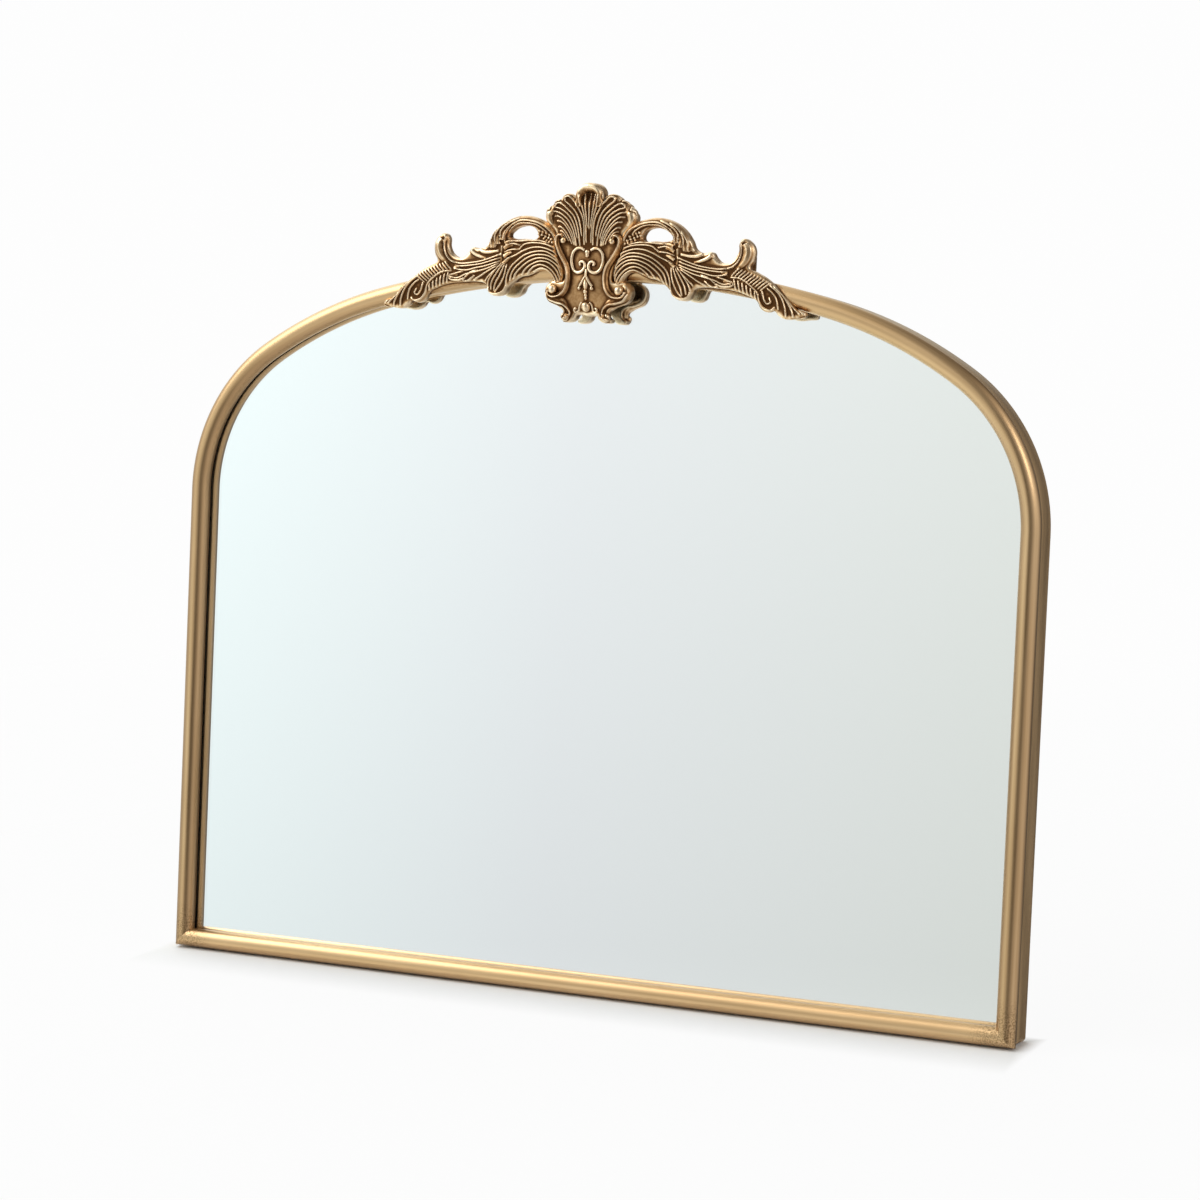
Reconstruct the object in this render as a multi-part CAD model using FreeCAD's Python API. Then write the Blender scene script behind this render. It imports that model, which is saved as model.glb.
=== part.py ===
"""Arched wall mirror with a cast scroll crown.

Sizes are in millimetres. +X is the viewer's right, +Y points back to the wall and +Z is up.
The wall plane is y = 0. The origin lies on it, midway between the two hanging rings.
"""
import math
import os

import FreeCAD
import Part

Vector = FreeCAD.Vector

# Outline of the frame, on the outermost line of the front bead
frame_width = 914.0
stile_height = 474.0
shoulder_radius = 183.0
shoulder_turn = 56.4
haunch_radius = 442.0
top_radius = 967.5

# Front bead, a hollow tube with a flattened back
bead_radius = 9.5
bead_back_depth = 5.8
bead_wall = 1.2

# Rim strip welded behind the bead
rim_inset = 1.6
rim_thickness = 2.5
rim_depth = 28.5
rim_edge_break = 0.5

# Pane, silver coat, glazing seal and backing board
pane_rebate = 7.9
pane_thickness = 4.0
coat_thickness = 0.2
seal_thickness = 0.5
seal_width = 4.0
board_thickness = 6.0
board_trim = 0.4

# Weld bosses inside the rim
boss_length = 12.0
boss_pane_gap = 0.4
thread_clearance = 0.05

# Turn clips and their screws
bottom_clip_shares = (-0.32, 0.0, 0.32)
stile_clip_shares = (0.2, 0.6)
arc_clip_share = 0.5
clip_width = 7.0
clip_reach = 26.0
clip_thickness = 1.5
clip_lip = 4.0
clip_face_gap = 0.1
pivot_clearance = 0.05
clip_screw_radius = 1.5
clip_screw_grip = 7.0
clip_head_radius = 2.8
clip_head_height = 1.8

# Screw heads: the straight part of the side, the flat top and the driver slot
head_side_share = 0.55
head_top_share = 0.7
slot_width_share = 0.28
slot_depth_share = 0.5

# Hangers on the stiles
hang_below_spring = 34.0
hanger_rise = 5.0
hanger_drop = 45.0
hanger_width = 35.0
hanger_thickness = 2.0
hanger_rim_gap = 0.5
hanger_corner = 4.0
hanger_screw_shares = (0.28, 0.86)
hanger_screw_radius = 2.0
hanger_screw_grip = 8.0
hanger_head_radius = 3.4
hanger_head_height = 2.2

# Hanging rings
ring_wire = 1.6
ring_half_width = 11.0
ring_corner = 3.0
ring_leg = 4.0
ring_from_rim = 20.5
ring_plate_gap = 0.5
knuckle_length = 13.0
knuckle_wall = 1.4

# Crown: where it sits, its size and its seat on the bead
crown_offset = -8.4
crown_half_span = 225.0
crown_height = 134.0
crown_drop = 59.9
crown_seat_gap = 0.3

# Crown stays and screws
stay_shares = (0.133, 0.436, 0.711)
stay_width = 14.0
stay_thickness = 3.0
stay_foot = 18.0
stay_height = 23.0
stay_bead_gap = 0.2
post_height = 16.0
post_radius = 5.0
post_root = 4.0
crown_screw_radius = 2.0
crown_screw_grip = 7.0
crown_head_radius = 3.6
crown_head_height = 2.2

# Cartouche: depths are measured forward from the middle of the bead
form_root = 3.0
shield_depth = 14.0
belly_radius = 18.0
belly_rise = 6.0
shell_root_radius = 3.5
hood_radius = 13.5
hood_depth = 20.5
lobe_radii = (9.3, 7.6, 7.2)
lobe_depths = (18.8, 17.2, 15.6)
top_volute_radius = 5.8
top_volute_eye = 2.6
low_volute_radius = 8.3
low_volute_eye = 4.2
volute_depth = 17.0
scroll_radius = 2.4
scroll_depth = 13.2
scroll_end_share = 1.12
ring_scroll_radius = 8.2
ring_scroll_bore = 4.6
ring_scroll_depth = 21.0
knob_radius = 3.6
knob_depth = 18.0
pendant_root_radius = 1.3
pendant_tip_radius = 3.4
pendant_depth = 21.8
rosette_radius = 5.6
shoulder_share = 0.25
shield_shares = (
    (0.000, 0.619), (0.062, 0.642), (0.124, 0.653), (0.158, 0.627), (0.164, 0.582), (0.153, 0.530),
    (0.144, 0.470), (0.127, 0.381), (0.122, 0.321), (0.147, 0.313), (0.178, 0.306), (0.204, 0.261),
    (0.206, 0.216), (0.191, 0.164), (0.151, 0.131), (0.111, 0.112), (0.096, 0.075), (0.100, 0.041),
    (0.111, 0.019), (0.084, 0.002), (0.040, 0.015), (0.000, 0.007),
)
belly_share = (0.000, 0.358)
shell_root_share = (0.000, 0.500)
hood_share = (0.000, 0.898)
lobe_shares = ((0.100, 0.843), (0.149, 0.801), (0.184, 0.743))
top_volute_share = (0.127, 0.590)
low_volute_share = (0.160, 0.231)
scroll_shares = ((0.140, 0.545), (0.122, 0.451), (0.108, 0.351))
ring_scroll_share = (0.039, 0.444)
knob_share = (0.000, 0.507)
pendant_shares = ((0.000, 0.351), (0.000, 0.239))
rosette_share = (0.000, 0.119)

# Wings: depths are measured forward from the middle of the bead
wing_depth = 12.6
arch_bar_radii = (3.6, 3.2)
arch_bar_depth = 11.5
hook_bar_radii = (2.6, 2.4)
hook_bar_depth = 12.0
feather_radius = 1.9
feather_depth = 13.2
midrib_radius = 2.4
midrib_depth = 12.0
curl_radius = 3.8
curl_depth = 11.4
wing_shares = (
    (0.231, 0.726), (0.267, 0.749), (0.316, 0.761), (0.382, 0.739), (0.440, 0.679), (0.476, 0.604),
    (0.498, 0.537), (0.538, 0.515), (0.573, 0.522), (0.591, 0.485), (0.622, 0.448), (0.658, 0.466),
    (0.682, 0.530), (0.684, 0.597), (0.707, 0.623), (0.742, 0.601), (0.762, 0.537), (0.756, 0.463),
    (0.742, 0.414), (0.778, 0.384), (0.818, 0.343), (0.858, 0.291), (0.893, 0.246), (0.924, 0.201),
    (0.960, 0.138), (1.000, 0.093), (0.960, 0.067), (0.916, 0.063), (0.880, 0.090), (0.853, 0.119),
    (0.827, 0.110), (0.800, 0.131), (0.780, 0.187), (0.738, 0.220), (0.676, 0.254), (0.613, 0.276),
    (0.542, 0.280), (0.489, 0.265), (0.469, 0.220), (0.440, 0.178), (0.411, 0.198), (0.393, 0.246),
    (0.364, 0.295), (0.320, 0.321), (0.267, 0.351), (0.222, 0.366), (0.187, 0.347), (0.160, 0.340),
    (0.147, 0.381), (0.151, 0.455), (0.165, 0.545), (0.176, 0.608), (0.202, 0.660),
)
opening_shares = (
    (0.249, 0.601), (0.258, 0.657), (0.293, 0.685), (0.338, 0.681), (0.373, 0.653), (0.390, 0.612),
    (0.373, 0.596), (0.311, 0.593),
)
arch_bar_shares = (
    ((0.249, 0.696), (0.338, 0.719), (0.422, 0.638)),
    ((0.422, 0.638), (0.449, 0.586), (0.460, 0.522)),
)
hook_bar_shares = (
    ((0.502, 0.466), (0.613, 0.413), (0.689, 0.444)),
    ((0.689, 0.444), (0.740, 0.530), (0.704, 0.594)),
)
feather_shares = (
    ((0.189, 0.541), (0.258, 0.560), (0.329, 0.526)),
    ((0.178, 0.489), (0.258, 0.522), (0.404, 0.418)),
    ((0.171, 0.444), (0.258, 0.480), (0.382, 0.313)),
    ((0.169, 0.399), (0.240, 0.439), (0.342, 0.328)),
    ((0.187, 0.375), (0.236, 0.401), (0.289, 0.362)),
)
midrib_shares = ((0.498, 0.366), (0.667, 0.343), (0.800, 0.243))
wing_curl_share = (0.560, 0.485)
wing_leaf_shares = (
    ((0.407, 0.381), (0.438, 0.224)),
    ((0.384, 0.373), (0.387, 0.287)),
    ((0.440, 0.366), (0.496, 0.302)),
    ((0.498, 0.328), (0.560, 0.308)),
    ((0.796, 0.216), (0.827, 0.159)),
    ((0.867, 0.231), (0.949, 0.103)),
)
wing_leaf_radii = (5.2, 3.0, 3.0, 2.6, 4.6, 3.0)
wing_leaf_depths = (15.6, 14.4, 15.0, 14.6, 15.4, 14.8)
leaf_root_share = 0.5

# Fineness of the crown's outlines, and one overrun for all cuts
outline_tolerance = 0.25
overrun = 5.0

# Heights and depths that follow from the sizes above
hang_height = stile_height - hang_below_spring
base_z = -hang_height
half_width = frame_width / 2
rim_front = -rim_depth
bead_y = rim_front - bead_back_depth
rim_inner = rim_inset + rim_thickness
pane_inset = rim_inner + pane_rebate
pane_front = rim_front + seal_thickness
coat_front = pane_front + pane_thickness
board_front = coat_front + coat_thickness
board_rear = board_front + board_thickness
boss_inner = pane_inset - boss_pane_gap
boss_middle = (rim_inner + boss_inner) / 2
clip_front = board_rear + clip_face_gap
clip_rear = clip_front + clip_thickness
hanger_rear = board_rear + hanger_thickness
knuckle_y = hanger_rear + ring_wire + ring_plate_gap
stay_front = rim_front + stay_bead_gap
stay_rear = stay_front + stay_thickness


def arch_arcs():
    """The five tangent arcs of the outline, from right to left: centre, radius, start and turn."""
    first = math.radians(shoulder_turn)
    shoulder_x = half_width - shoulder_radius
    shoulder_z = base_z + stile_height
    haunch_x = shoulder_x + (shoulder_radius - haunch_radius) * math.cos(first)
    haunch_z = shoulder_z + (shoulder_radius - haunch_radius) * math.sin(first)
    second = math.acos(haunch_x / (top_radius - haunch_radius))
    top_z = haunch_z + (haunch_radius - top_radius) * math.sin(second)
    haunch_turn = second - first
    return (
        (shoulder_x, shoulder_z, shoulder_radius, 0, first),
        (haunch_x, haunch_z, haunch_radius, first, haunch_turn),
        (0, top_z, top_radius, second, math.pi - second - second),
        (-haunch_x, haunch_z, haunch_radius, math.pi - second, haunch_turn),
        (-shoulder_x, shoulder_z, shoulder_radius, math.pi - first, first),
    )


def arch_top():
    """Height of the outline's highest point."""
    return arch_arcs()[2][1] + top_radius


crown_foot = arch_top() - crown_drop


def outward(shape):
    """Turn a solid that came out inside out."""
    if shape.Volume < 0:
        shape.reverse()
    return shape


def fuse_all(shapes):
    """One shape out of overlapping or touching solids."""
    return shapes[0].multiFuse(shapes[1:])


def largest(shape):
    """The main solid of a shape, without crumbs that a cut leaves."""
    return max(shape.Solids, key=lambda solid: solid.Volume)


def span_box(low, high):
    """A box between two corners."""
    size = high - low
    return Part.makeBox(size.x, size.y, size.z, low)


def rod(radius, start, end):
    """A round rod between two points."""
    way = end - start
    return Part.makeCylinder(radius, way.Length, start, way)


def arc_run(section, arc):
    """Carry a section round one arc of the outline."""
    x, z, radius, start, turn = arc
    along = math.cos(start)
    rise = math.sin(start)
    face = section(lambda inset, y: Vector(x + (radius - inset) * along, y, z + (radius - inset) * rise))
    return outward(face.revolve(Vector(x, 0, z), Vector(0, -1, 0), math.degrees(turn)))


def sweep_arch(section):
    """Carry a section up the right stile, over the arch and down the left stile."""
    runs = [arc_run(section, arc) for arc in arch_arcs()]
    for side in (1, -1):
        foot = section(lambda inset, y: Vector(side * (half_width - inset), y, base_z))
        runs.append(outward(foot.extrude(Vector(0, 0, stile_height))))
    return fuse_all(runs)


def sweep_bottom(section):
    """Carry a section along the bottom edge, from corner to corner."""
    face = section(lambda inset, y: Vector(-half_width, y, base_z + inset))
    return outward(face.extrude(Vector(frame_width, 0, 0)))


def mitre_wedge():
    """The block under both corner mitres, which parts the bottom lengths from the arched ones."""
    reach = bead_radius + bead_radius + overrun
    low = bead_y - bead_radius - overrun
    corners = [
        Vector(-half_width, low, base_z),
        Vector(half_width, low, base_z),
        Vector(half_width - reach, low, base_z + reach),
        Vector(reach - half_width, low, base_z + reach),
    ]
    face = Part.Face(Part.makePolygon(corners + corners[:1]))
    return outward(face.extrude(Vector(0, overrun - low, 0)))


def arch_plate(inset, front, back):
    """A flat plate inside the outline, set in from it all round."""
    edges = []
    for x, z, radius, start, turn in arch_arcs():
        spots = []
        for angle in (start, start + turn / 2, start + turn):
            out = radius - inset
            spots.append(Vector(x + out * math.cos(angle), front, z + out * math.sin(angle)))
        edges.append(Part.Arc(*spots).toShape())
    right = Vector(half_width - inset, front, base_z + inset)
    left = Vector(inset - half_width, front, base_z + inset)
    spring_right = Vector(half_width - inset, front, base_z + stile_height)
    spring_left = Vector(inset - half_width, front, base_z + stile_height)
    edges.append(Part.makeLine(spring_left, left))
    edges.append(Part.makeLine(left, right))
    edges.append(Part.makeLine(right, spring_right))
    face = Part.Face(Part.Wire(edges))
    return outward(face.extrude(Vector(0, back - front, 0)))


def bead_section(radius, back_depth):
    """Round section with a flat back, as a function of inset and depth."""
    half_chord = math.sqrt(radius ** 2 - back_depth ** 2)

    def draw(at):
        flat = bead_y + back_depth
        start = at(bead_radius - half_chord, flat)
        end = at(bead_radius + half_chord, flat)
        round_front = Part.Arc(start, at(bead_radius, bead_y - radius), end).toShape()
        return Part.Face(Part.Wire([round_front, Part.makeLine(end, start)]))

    return draw


def round_section(radius):
    """Round section about the middle of the bead."""

    def draw(at):
        middle = at(bead_radius, bead_y)
        way = (at(0, bead_y) - middle).cross(Vector(0, 1, 0))
        return Part.Face(Part.Wire(Part.Circle(middle, way, radius).toShape()))

    return draw


def rim_section(at):
    """Flat strip with its two outer edges broken."""
    corners = [
        at(rim_inset + rim_edge_break, rim_front),
        at(rim_inner, rim_front),
        at(rim_inner, 0),
        at(rim_inset + rim_edge_break, 0),
        at(rim_inset, -rim_edge_break),
        at(rim_inset, rim_front + rim_edge_break),
    ]
    return Part.Face(Part.makePolygon(corners + corners[:1]))


def frame_lengths():
    """Bead and rim, each as an arched length and a bottom length mitred to it."""
    wedge = mitre_wedge()
    outer = bead_section(bead_radius, bead_back_depth)
    inner = bead_section(bead_radius - bead_wall, bead_back_depth - bead_wall)
    return {
        "bead_arch": largest(sweep_arch(outer).cut(sweep_arch(inner)).cut(wedge)),
        "bead_bottom": largest(sweep_bottom(outer).cut(sweep_bottom(inner)).common(wedge)),
        "rim_arch": largest(sweep_arch(rim_section).cut(wedge)),
        "rim_bottom": largest(sweep_bottom(rim_section).common(wedge)),
    }


def glazing():
    """Seal, pane, silver coat and board, stacked behind the bead."""
    seal_outer = arch_plate(pane_inset, rim_front, pane_front)
    seal_inner = arch_plate(pane_inset + seal_width, rim_front, pane_front)
    return {
        "glazing_seal": largest(seal_outer.cut(seal_inner)),
        "glass_pane": arch_plate(pane_inset, pane_front, coat_front),
        "silver_coat": arch_plate(pane_inset, coat_front, board_front),
        "backing_board": arch_plate(pane_inset + board_trim, board_front, board_rear),
    }


def station(x, z, inward_x, inward_z):
    """Placement that carries a piece drawn at the middle of the bottom edge along the outline."""
    turn = math.degrees(math.atan2(inward_x, inward_z))
    return FreeCAD.Placement(Vector(x, 0, z), FreeCAD.Rotation(Vector(0, 1, 0), turn))


def arc_station(arc, angle):
    """A station on one of the outline's arcs."""
    x, z, radius = arc[:3]
    along = math.cos(angle)
    rise = math.sin(angle)
    return station(x + radius * along, z + radius * rise, -along, -rise)


def clip_stations():
    """Places of the turn clips: bottom edge, both stiles, both haunches and the top."""
    places = [station(share * frame_width, base_z, 0, 1) for share in bottom_clip_shares]
    for side in (1, -1):
        for share in stile_clip_shares:
            places.append(station(side * half_width, base_z + share * stile_height, -side, 0))
    for arc in arch_arcs()[1:4]:
        places.append(arc_station(arc, arc[3] + arc[4] * arc_clip_share))
    return places


def pan_screw(radius, length, head_radius, head_height):
    """A slotted pan-head screw with its seat at y = 0 and its head behind it."""
    side = head_height * head_side_share
    axis = Vector(0, 1, 0)
    shank = rod(radius, Vector(0, -length, 0), Vector(0, side, 0))
    head = rod(head_radius, Vector(0, 0, 0), Vector(0, side, 0))
    crown = Part.makeCone(
        head_radius, head_radius * head_top_share, head_height - side, Vector(0, side, 0), axis
    )
    half_slot = head_radius * slot_width_share / 2
    floor = head_height * (1 - slot_depth_share)
    slot = span_box(
        Vector(-head_radius - overrun, floor, -half_slot),
        Vector(head_radius + overrun, head_height + overrun, half_slot),
    )
    return fuse_all([head, crown, shank]).removeSplitter().cut(slot)


def placed(shape, place):
    """A copy of a shape, carried to a placement."""
    copy = shape.copy()
    copy.Placement = place.multiply(shape.Placement)
    return copy


def clip_boss():
    """Block that fills the rebate between the rim and the pane, tapped for the clip's screw."""
    block = span_box(
        Vector(-boss_length / 2, rim_front, rim_inner - overrun),
        Vector(boss_length / 2, board_rear, boss_inner),
    )
    mouth = Vector(0, board_rear + overrun, boss_middle)
    floor = Vector(0, board_rear - clip_screw_grip - thread_clearance, boss_middle)
    return block.cut(rod(clip_screw_radius + thread_clearance, floor, mouth))


def turn_clip():
    """Flat steel button with a round pivot end and a finger lip at its far end."""
    half = clip_width / 2
    tip = boss_middle + clip_reach
    left = Vector(-half, clip_front, boss_middle)
    right = Vector(half, clip_front, boss_middle)
    far_right = Vector(half, clip_front, tip)
    far_left = Vector(-half, clip_front, tip)
    pivot_end = Part.Arc(left, Vector(0, clip_front, boss_middle - half), right).toShape()
    edges = [
        pivot_end,
        Part.makeLine(right, far_right),
        Part.makeLine(far_right, far_left),
        Part.makeLine(far_left, left),
    ]
    blade = outward(Part.Face(Part.Wire(edges)).extrude(Vector(0, clip_thickness, 0)))
    lip = span_box(
        Vector(-half, clip_front, tip - clip_thickness), Vector(half, clip_rear + clip_lip, tip)
    )
    hole = rod(
        clip_screw_radius + pivot_clearance,
        Vector(0, clip_front - overrun, boss_middle),
        Vector(0, clip_rear + overrun, boss_middle),
    )
    return largest(blade.fuse(lip).removeSplitter().cut(hole))


def clip_screw():
    """Screw that a turn clip pivots on."""
    seat = clip_rear + clip_face_gap
    length = seat - board_rear + clip_screw_grip
    screw = pan_screw(clip_screw_radius, length, clip_head_radius, clip_head_height)
    screw.translate(Vector(0, seat, boss_middle))
    return screw


def board_holders():
    """Bosses, turn clips and clip screws at every station round the rim."""
    places = clip_stations()
    inside = arch_plate(rim_inner, rim_front, 0)
    bosses = [largest(placed(clip_boss(), place).common(inside)) for place in places]
    screws = [largest(placed(clip_screw(), place)) for place in places]
    nodes = {
        "clip_bosses": Part.makeCompound(bosses),
        "clip_screws": Part.makeCompound(screws),
    }
    for number, place in enumerate(places, 1):
        nodes["turn_clip_%d" % number] = placed(turn_clip(), place)
    return nodes


def hanger_screw_heights():
    """Heights of the two screws of a hanger plate."""
    tall = hanger_rise + hanger_drop
    return [hanger_rise - share * tall for share in hanger_screw_shares]


def hanger_boss():
    """Block welded inside the right stile, tapped for the hanger's screws."""
    rim_face = half_width - rim_inner
    boss = span_box(
        Vector(half_width - boss_inner, rim_front, -hanger_drop),
        Vector(rim_face, board_rear, hanger_rise),
    )
    for z in hanger_screw_heights():
        mouth = Vector(half_width - boss_middle, board_rear + overrun, z)
        floor = Vector(half_width - boss_middle, board_rear - hanger_screw_grip - thread_clearance, z)
        boss = boss.cut(rod(hanger_screw_radius + thread_clearance, floor, mouth))
    return largest(boss)


def hanger_plate():
    """Plate on the right stile with the knuckle that carries its ring."""
    outer = half_width - rim_inner - hanger_rim_gap
    plate = span_box(
        Vector(outer - hanger_width, board_rear, -hanger_drop), Vector(outer, hanger_rear, hanger_rise)
    )
    corners = [edge for edge in plate.Edges if edge.BoundBox.YLength > edge.Length / 2]
    plate = plate.makeFillet(hanger_corner, corners)
    middle = half_width - rim_inner - ring_from_rim
    start = Vector(middle - knuckle_length / 2, knuckle_y, 0)
    end = Vector(middle + knuckle_length / 2, knuckle_y, 0)
    bore = ring_wire + pivot_clearance
    plate = plate.fuse(rod(bore + knuckle_wall, start, end))
    clear = Vector(overrun, 0, 0)
    plate = plate.cut(rod(bore, start - clear, end + clear))
    for z in hanger_screw_heights():
        hole_x = half_width - boss_middle
        hole = rod(
            hanger_screw_radius + thread_clearance,
            Vector(hole_x, board_rear - overrun, z),
            Vector(hole_x, hanger_rear + overrun, z),
        )
        plate = plate.cut(hole)
    return largest(plate)


def hanger_screws():
    """Both screws of the right hanger plate."""
    length = hanger_thickness + hanger_screw_grip
    screws = []
    for z in hanger_screw_heights():
        screw = pan_screw(hanger_screw_radius, length, hanger_head_radius, hanger_head_height)
        screw.translate(Vector(half_width - boss_middle, hanger_rear, z))
        screws.append(largest(screw))
    return screws


def wire_bend(start, way, centre, turn):
    """A bend of the ring's wire about an axis along Y."""
    section = Part.Face(Part.Wire(Part.Circle(start, way, ring_wire).toShape()))
    return outward(section.revolve(centre, Vector(0, 1, 0), turn))


def hanging_ring():
    """D-shaped wire ring of the right stile, hanging straight down from its knuckle."""
    middle = half_width - rim_inner - ring_from_rim
    half_bar = ring_half_width - ring_corner
    quarter = math.degrees(math.pi / 2)
    runs = [rod(ring_wire, Vector(middle - half_bar, knuckle_y, 0), Vector(middle + half_bar, knuckle_y, 0))]
    for side in (1, -1):
        end = Vector(middle + side * half_bar, knuckle_y, 0)
        elbow = Vector(middle + side * ring_half_width, knuckle_y, -ring_corner)
        foot = elbow - Vector(0, 0, ring_leg)
        runs.append(wire_bend(end, Vector(1, 0, 0), end - Vector(0, 0, ring_corner), side * quarter))
        runs.append(rod(ring_wire, elbow, foot))
    centre = Vector(middle, knuckle_y, -ring_corner - ring_leg)
    start = centre + Vector(ring_half_width, 0, 0)
    runs.append(wire_bend(start, Vector(0, 0, 1), centre, quarter + quarter))
    return largest(fuse_all(runs))


def across(shape, x):
    """The mirror image of a shape on the other side of an upright plane."""
    return shape.mirror(Vector(x, 0, 0), Vector(1, 0, 0))


def hangers():
    """Boss, plate, ring and screws on each stile."""
    screws = hanger_screws()
    nodes = {
        "hanger_boss_right": hanger_boss(),
        "hanger_plate_right": hanger_plate(),
        "hanging_ring_right": hanging_ring(),
    }
    for name in list(nodes):
        nodes[name.replace("right", "left")] = across(nodes[name], 0)
    nodes["hanger_screws"] = Part.makeCompound(screws + [across(screw, 0) for screw in screws])
    return nodes


def crown_point(share, depth):
    """A point of the crown, a depth in front of the middle of the bead."""
    aside, up = share
    return Vector(crown_offset + aside * crown_half_span, bead_y - depth, crown_foot + up * crown_height)


def relief_plate(shares, depth):
    """A plate with a curved outline of arcs, from the back of the crown forward."""
    curve = Part.BSplineCurve()
    curve.interpolate(Points=[crown_point(share, 0) for share in shares], PeriodicFlag=True)
    arcs = [arc.toShape() for arc in curve.toBiArcs(outline_tolerance)]
    return outward(Part.Face(Part.Wire(arcs)).extrude(Vector(0, -depth, 0)))


def lobe(shares, root_radius, tip_radius, depth):
    """A flat lobe with a softened front edge, swelling or thinning from its root to its tip."""
    root = crown_point(shares[0], form_root)
    tip = crown_point(shares[1], form_root)
    way = tip - root
    heading = math.atan2(way.z, way.x)
    flank = math.acos((root_radius - tip_radius) / way.Length)

    def rim(middle, radius, angle):
        return middle + Vector(radius * math.cos(heading + angle), 0, radius * math.sin(heading + angle))

    left_root, right_root = rim(root, root_radius, flank), rim(root, root_radius, -flank)
    left_tip, right_tip = rim(tip, tip_radius, flank), rim(tip, tip_radius, -flank)
    edges = [
        Part.Arc(left_root, rim(root, root_radius, math.pi), right_root).toShape(),
        Part.makeLine(right_root, right_tip),
        Part.Arc(right_tip, rim(tip, tip_radius, 0), left_tip).toShape(),
        Part.makeLine(left_tip, left_root),
    ]
    front = crown_point(shares[0], depth).y
    block = outward(Part.Face(Part.Wire(edges)).extrude(Vector(0, front - root.y, 0)))
    face = min(block.Faces, key=lambda one: one.CenterOfMass.y)
    return block.makeFillet(root_radius * shoulder_share, face.Edges)


def scroll_bar(shares, radius, depth):
    """A round bar along an arc through three points, with a ball at each end."""
    spots = [crown_point(share, depth) for share in shares]
    arc = Part.Arc(*spots)
    edge = arc.toShape()
    start = edge.tangentAt(edge.FirstParameter)
    turn = math.degrees(edge.LastParameter - edge.FirstParameter)
    section = Part.Face(Part.Wire(Part.Circle(spots[0], start, radius).toShape()))
    bar = outward(section.revolve(edge.Curve.Center, edge.Curve.Axis, turn))
    balls = [Part.makeSphere(radius * scroll_end_share, spot) for spot in (spots[0], spots[2])]
    return fuse_all([bar] + balls)


def disc(share, radius, depth):
    """A round boss raised on a plate."""
    return rod(radius, crown_point(share, form_root), crown_point(share, depth))


def ball(share, radius, depth):
    """A ball at a depth."""
    return Part.makeSphere(radius, crown_point(share, depth))


def belly():
    """The swelling in the middle of the shield."""
    radius = (belly_radius ** 2 + belly_rise ** 2) / (belly_rise + belly_rise)
    low = math.asin((radius - belly_rise - form_root) / radius)
    centre = crown_point(belly_share, shield_depth + belly_rise - radius)
    angles = [math.degrees(angle) for angle in (low, math.pi / 2, math.tau)]
    return Part.makeSphere(radius, centre, Vector(0, -1, 0), *angles)


def cartouche():
    """Shield, shell and scrolls of the cartouche, the right half and its mirror image."""
    outline = list(shield_shares)
    outline += [(-aside, up) for aside, up in reversed(shield_shares[1:-1])]
    forms = [relief_plate(outline, shield_depth), belly()]
    forms.append(lobe((shell_root_share, hood_share), shell_root_radius, hood_radius, hood_depth))
    for share, radius, depth in zip(lobe_shares, lobe_radii, lobe_depths):
        forms.append(lobe((shell_root_share, share), shell_root_radius, radius, depth))
    forms.append(disc(top_volute_share, top_volute_radius, volute_depth))
    forms.append(ball(top_volute_share, top_volute_eye, volute_depth))
    forms.append(disc(low_volute_share, low_volute_radius, volute_depth))
    forms.append(ball(low_volute_share, low_volute_eye, volute_depth))
    forms.append(scroll_bar(scroll_shares, scroll_radius, scroll_depth))
    ring = disc(ring_scroll_share, ring_scroll_radius, ring_scroll_depth)
    forms.append(ring.cut(disc(ring_scroll_share, ring_scroll_bore, ring_scroll_depth)))
    forms.append(ball(knob_share, knob_radius, knob_depth))
    forms.append(lobe(pendant_shares, pendant_root_radius, pendant_tip_radius, pendant_depth))
    forms.append(ball(rosette_share, rosette_radius, shield_depth))
    reach = crown_height + crown_height
    half_space = span_box(
        Vector(crown_offset, bead_y - reach, crown_foot - reach),
        Vector(crown_offset + reach, bead_y, crown_foot + reach),
    )
    half = fuse_all(forms).common(half_space)
    return half.fuse(across(half, crown_offset))


def wing():
    """Plate, scrolls, feathers and leaves of the right wing, pierced under its arch scroll."""
    forms = [relief_plate(wing_shares, wing_depth).cut(relief_plate(opening_shares, wing_depth))]
    for shares, radius in zip(arch_bar_shares, arch_bar_radii):
        forms.append(scroll_bar(shares, radius, arch_bar_depth))
    for shares, radius in zip(hook_bar_shares, hook_bar_radii):
        forms.append(scroll_bar(shares, radius, hook_bar_depth))
    forms += [scroll_bar(shares, feather_radius, feather_depth) for shares in feather_shares]
    forms.append(scroll_bar(midrib_shares, midrib_radius, midrib_depth))
    forms.append(ball(wing_curl_share, curl_radius, curl_depth))
    for shares, radius, depth in zip(wing_leaf_shares, wing_leaf_radii, wing_leaf_depths):
        forms.append(lobe(shares, radius * leaf_root_share, radius, depth))
    return fuse_all(forms)


def bead_channel():
    """The space that the bead takes up behind the crown."""
    section = round_section(bead_radius + crown_seat_gap)
    return fuse_all([arc_run(section, arc) for arc in arch_arcs()[1:4]])


def stay_station(share):
    """Station on the top arc, straight behind a place of the crown."""
    top = arch_arcs()[2]
    return arc_station(top, math.acos((crown_offset + share * crown_half_span) / top_radius))


def crown_post(share):
    """Cast post at the back of the crown, and the hole for its screw."""
    root = Vector(0, bead_y - post_root, -post_height)
    end = Vector(0, stay_front, -post_height)
    floor = Vector(0, stay_front - crown_screw_grip - thread_clearance, -post_height)
    clear = Vector(0, overrun, 0)
    place = stay_station(share)
    post = placed(rod(post_radius, root, end), place)
    hole = placed(rod(crown_screw_radius + thread_clearance, floor, end + clear), place)
    return post, hole


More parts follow.
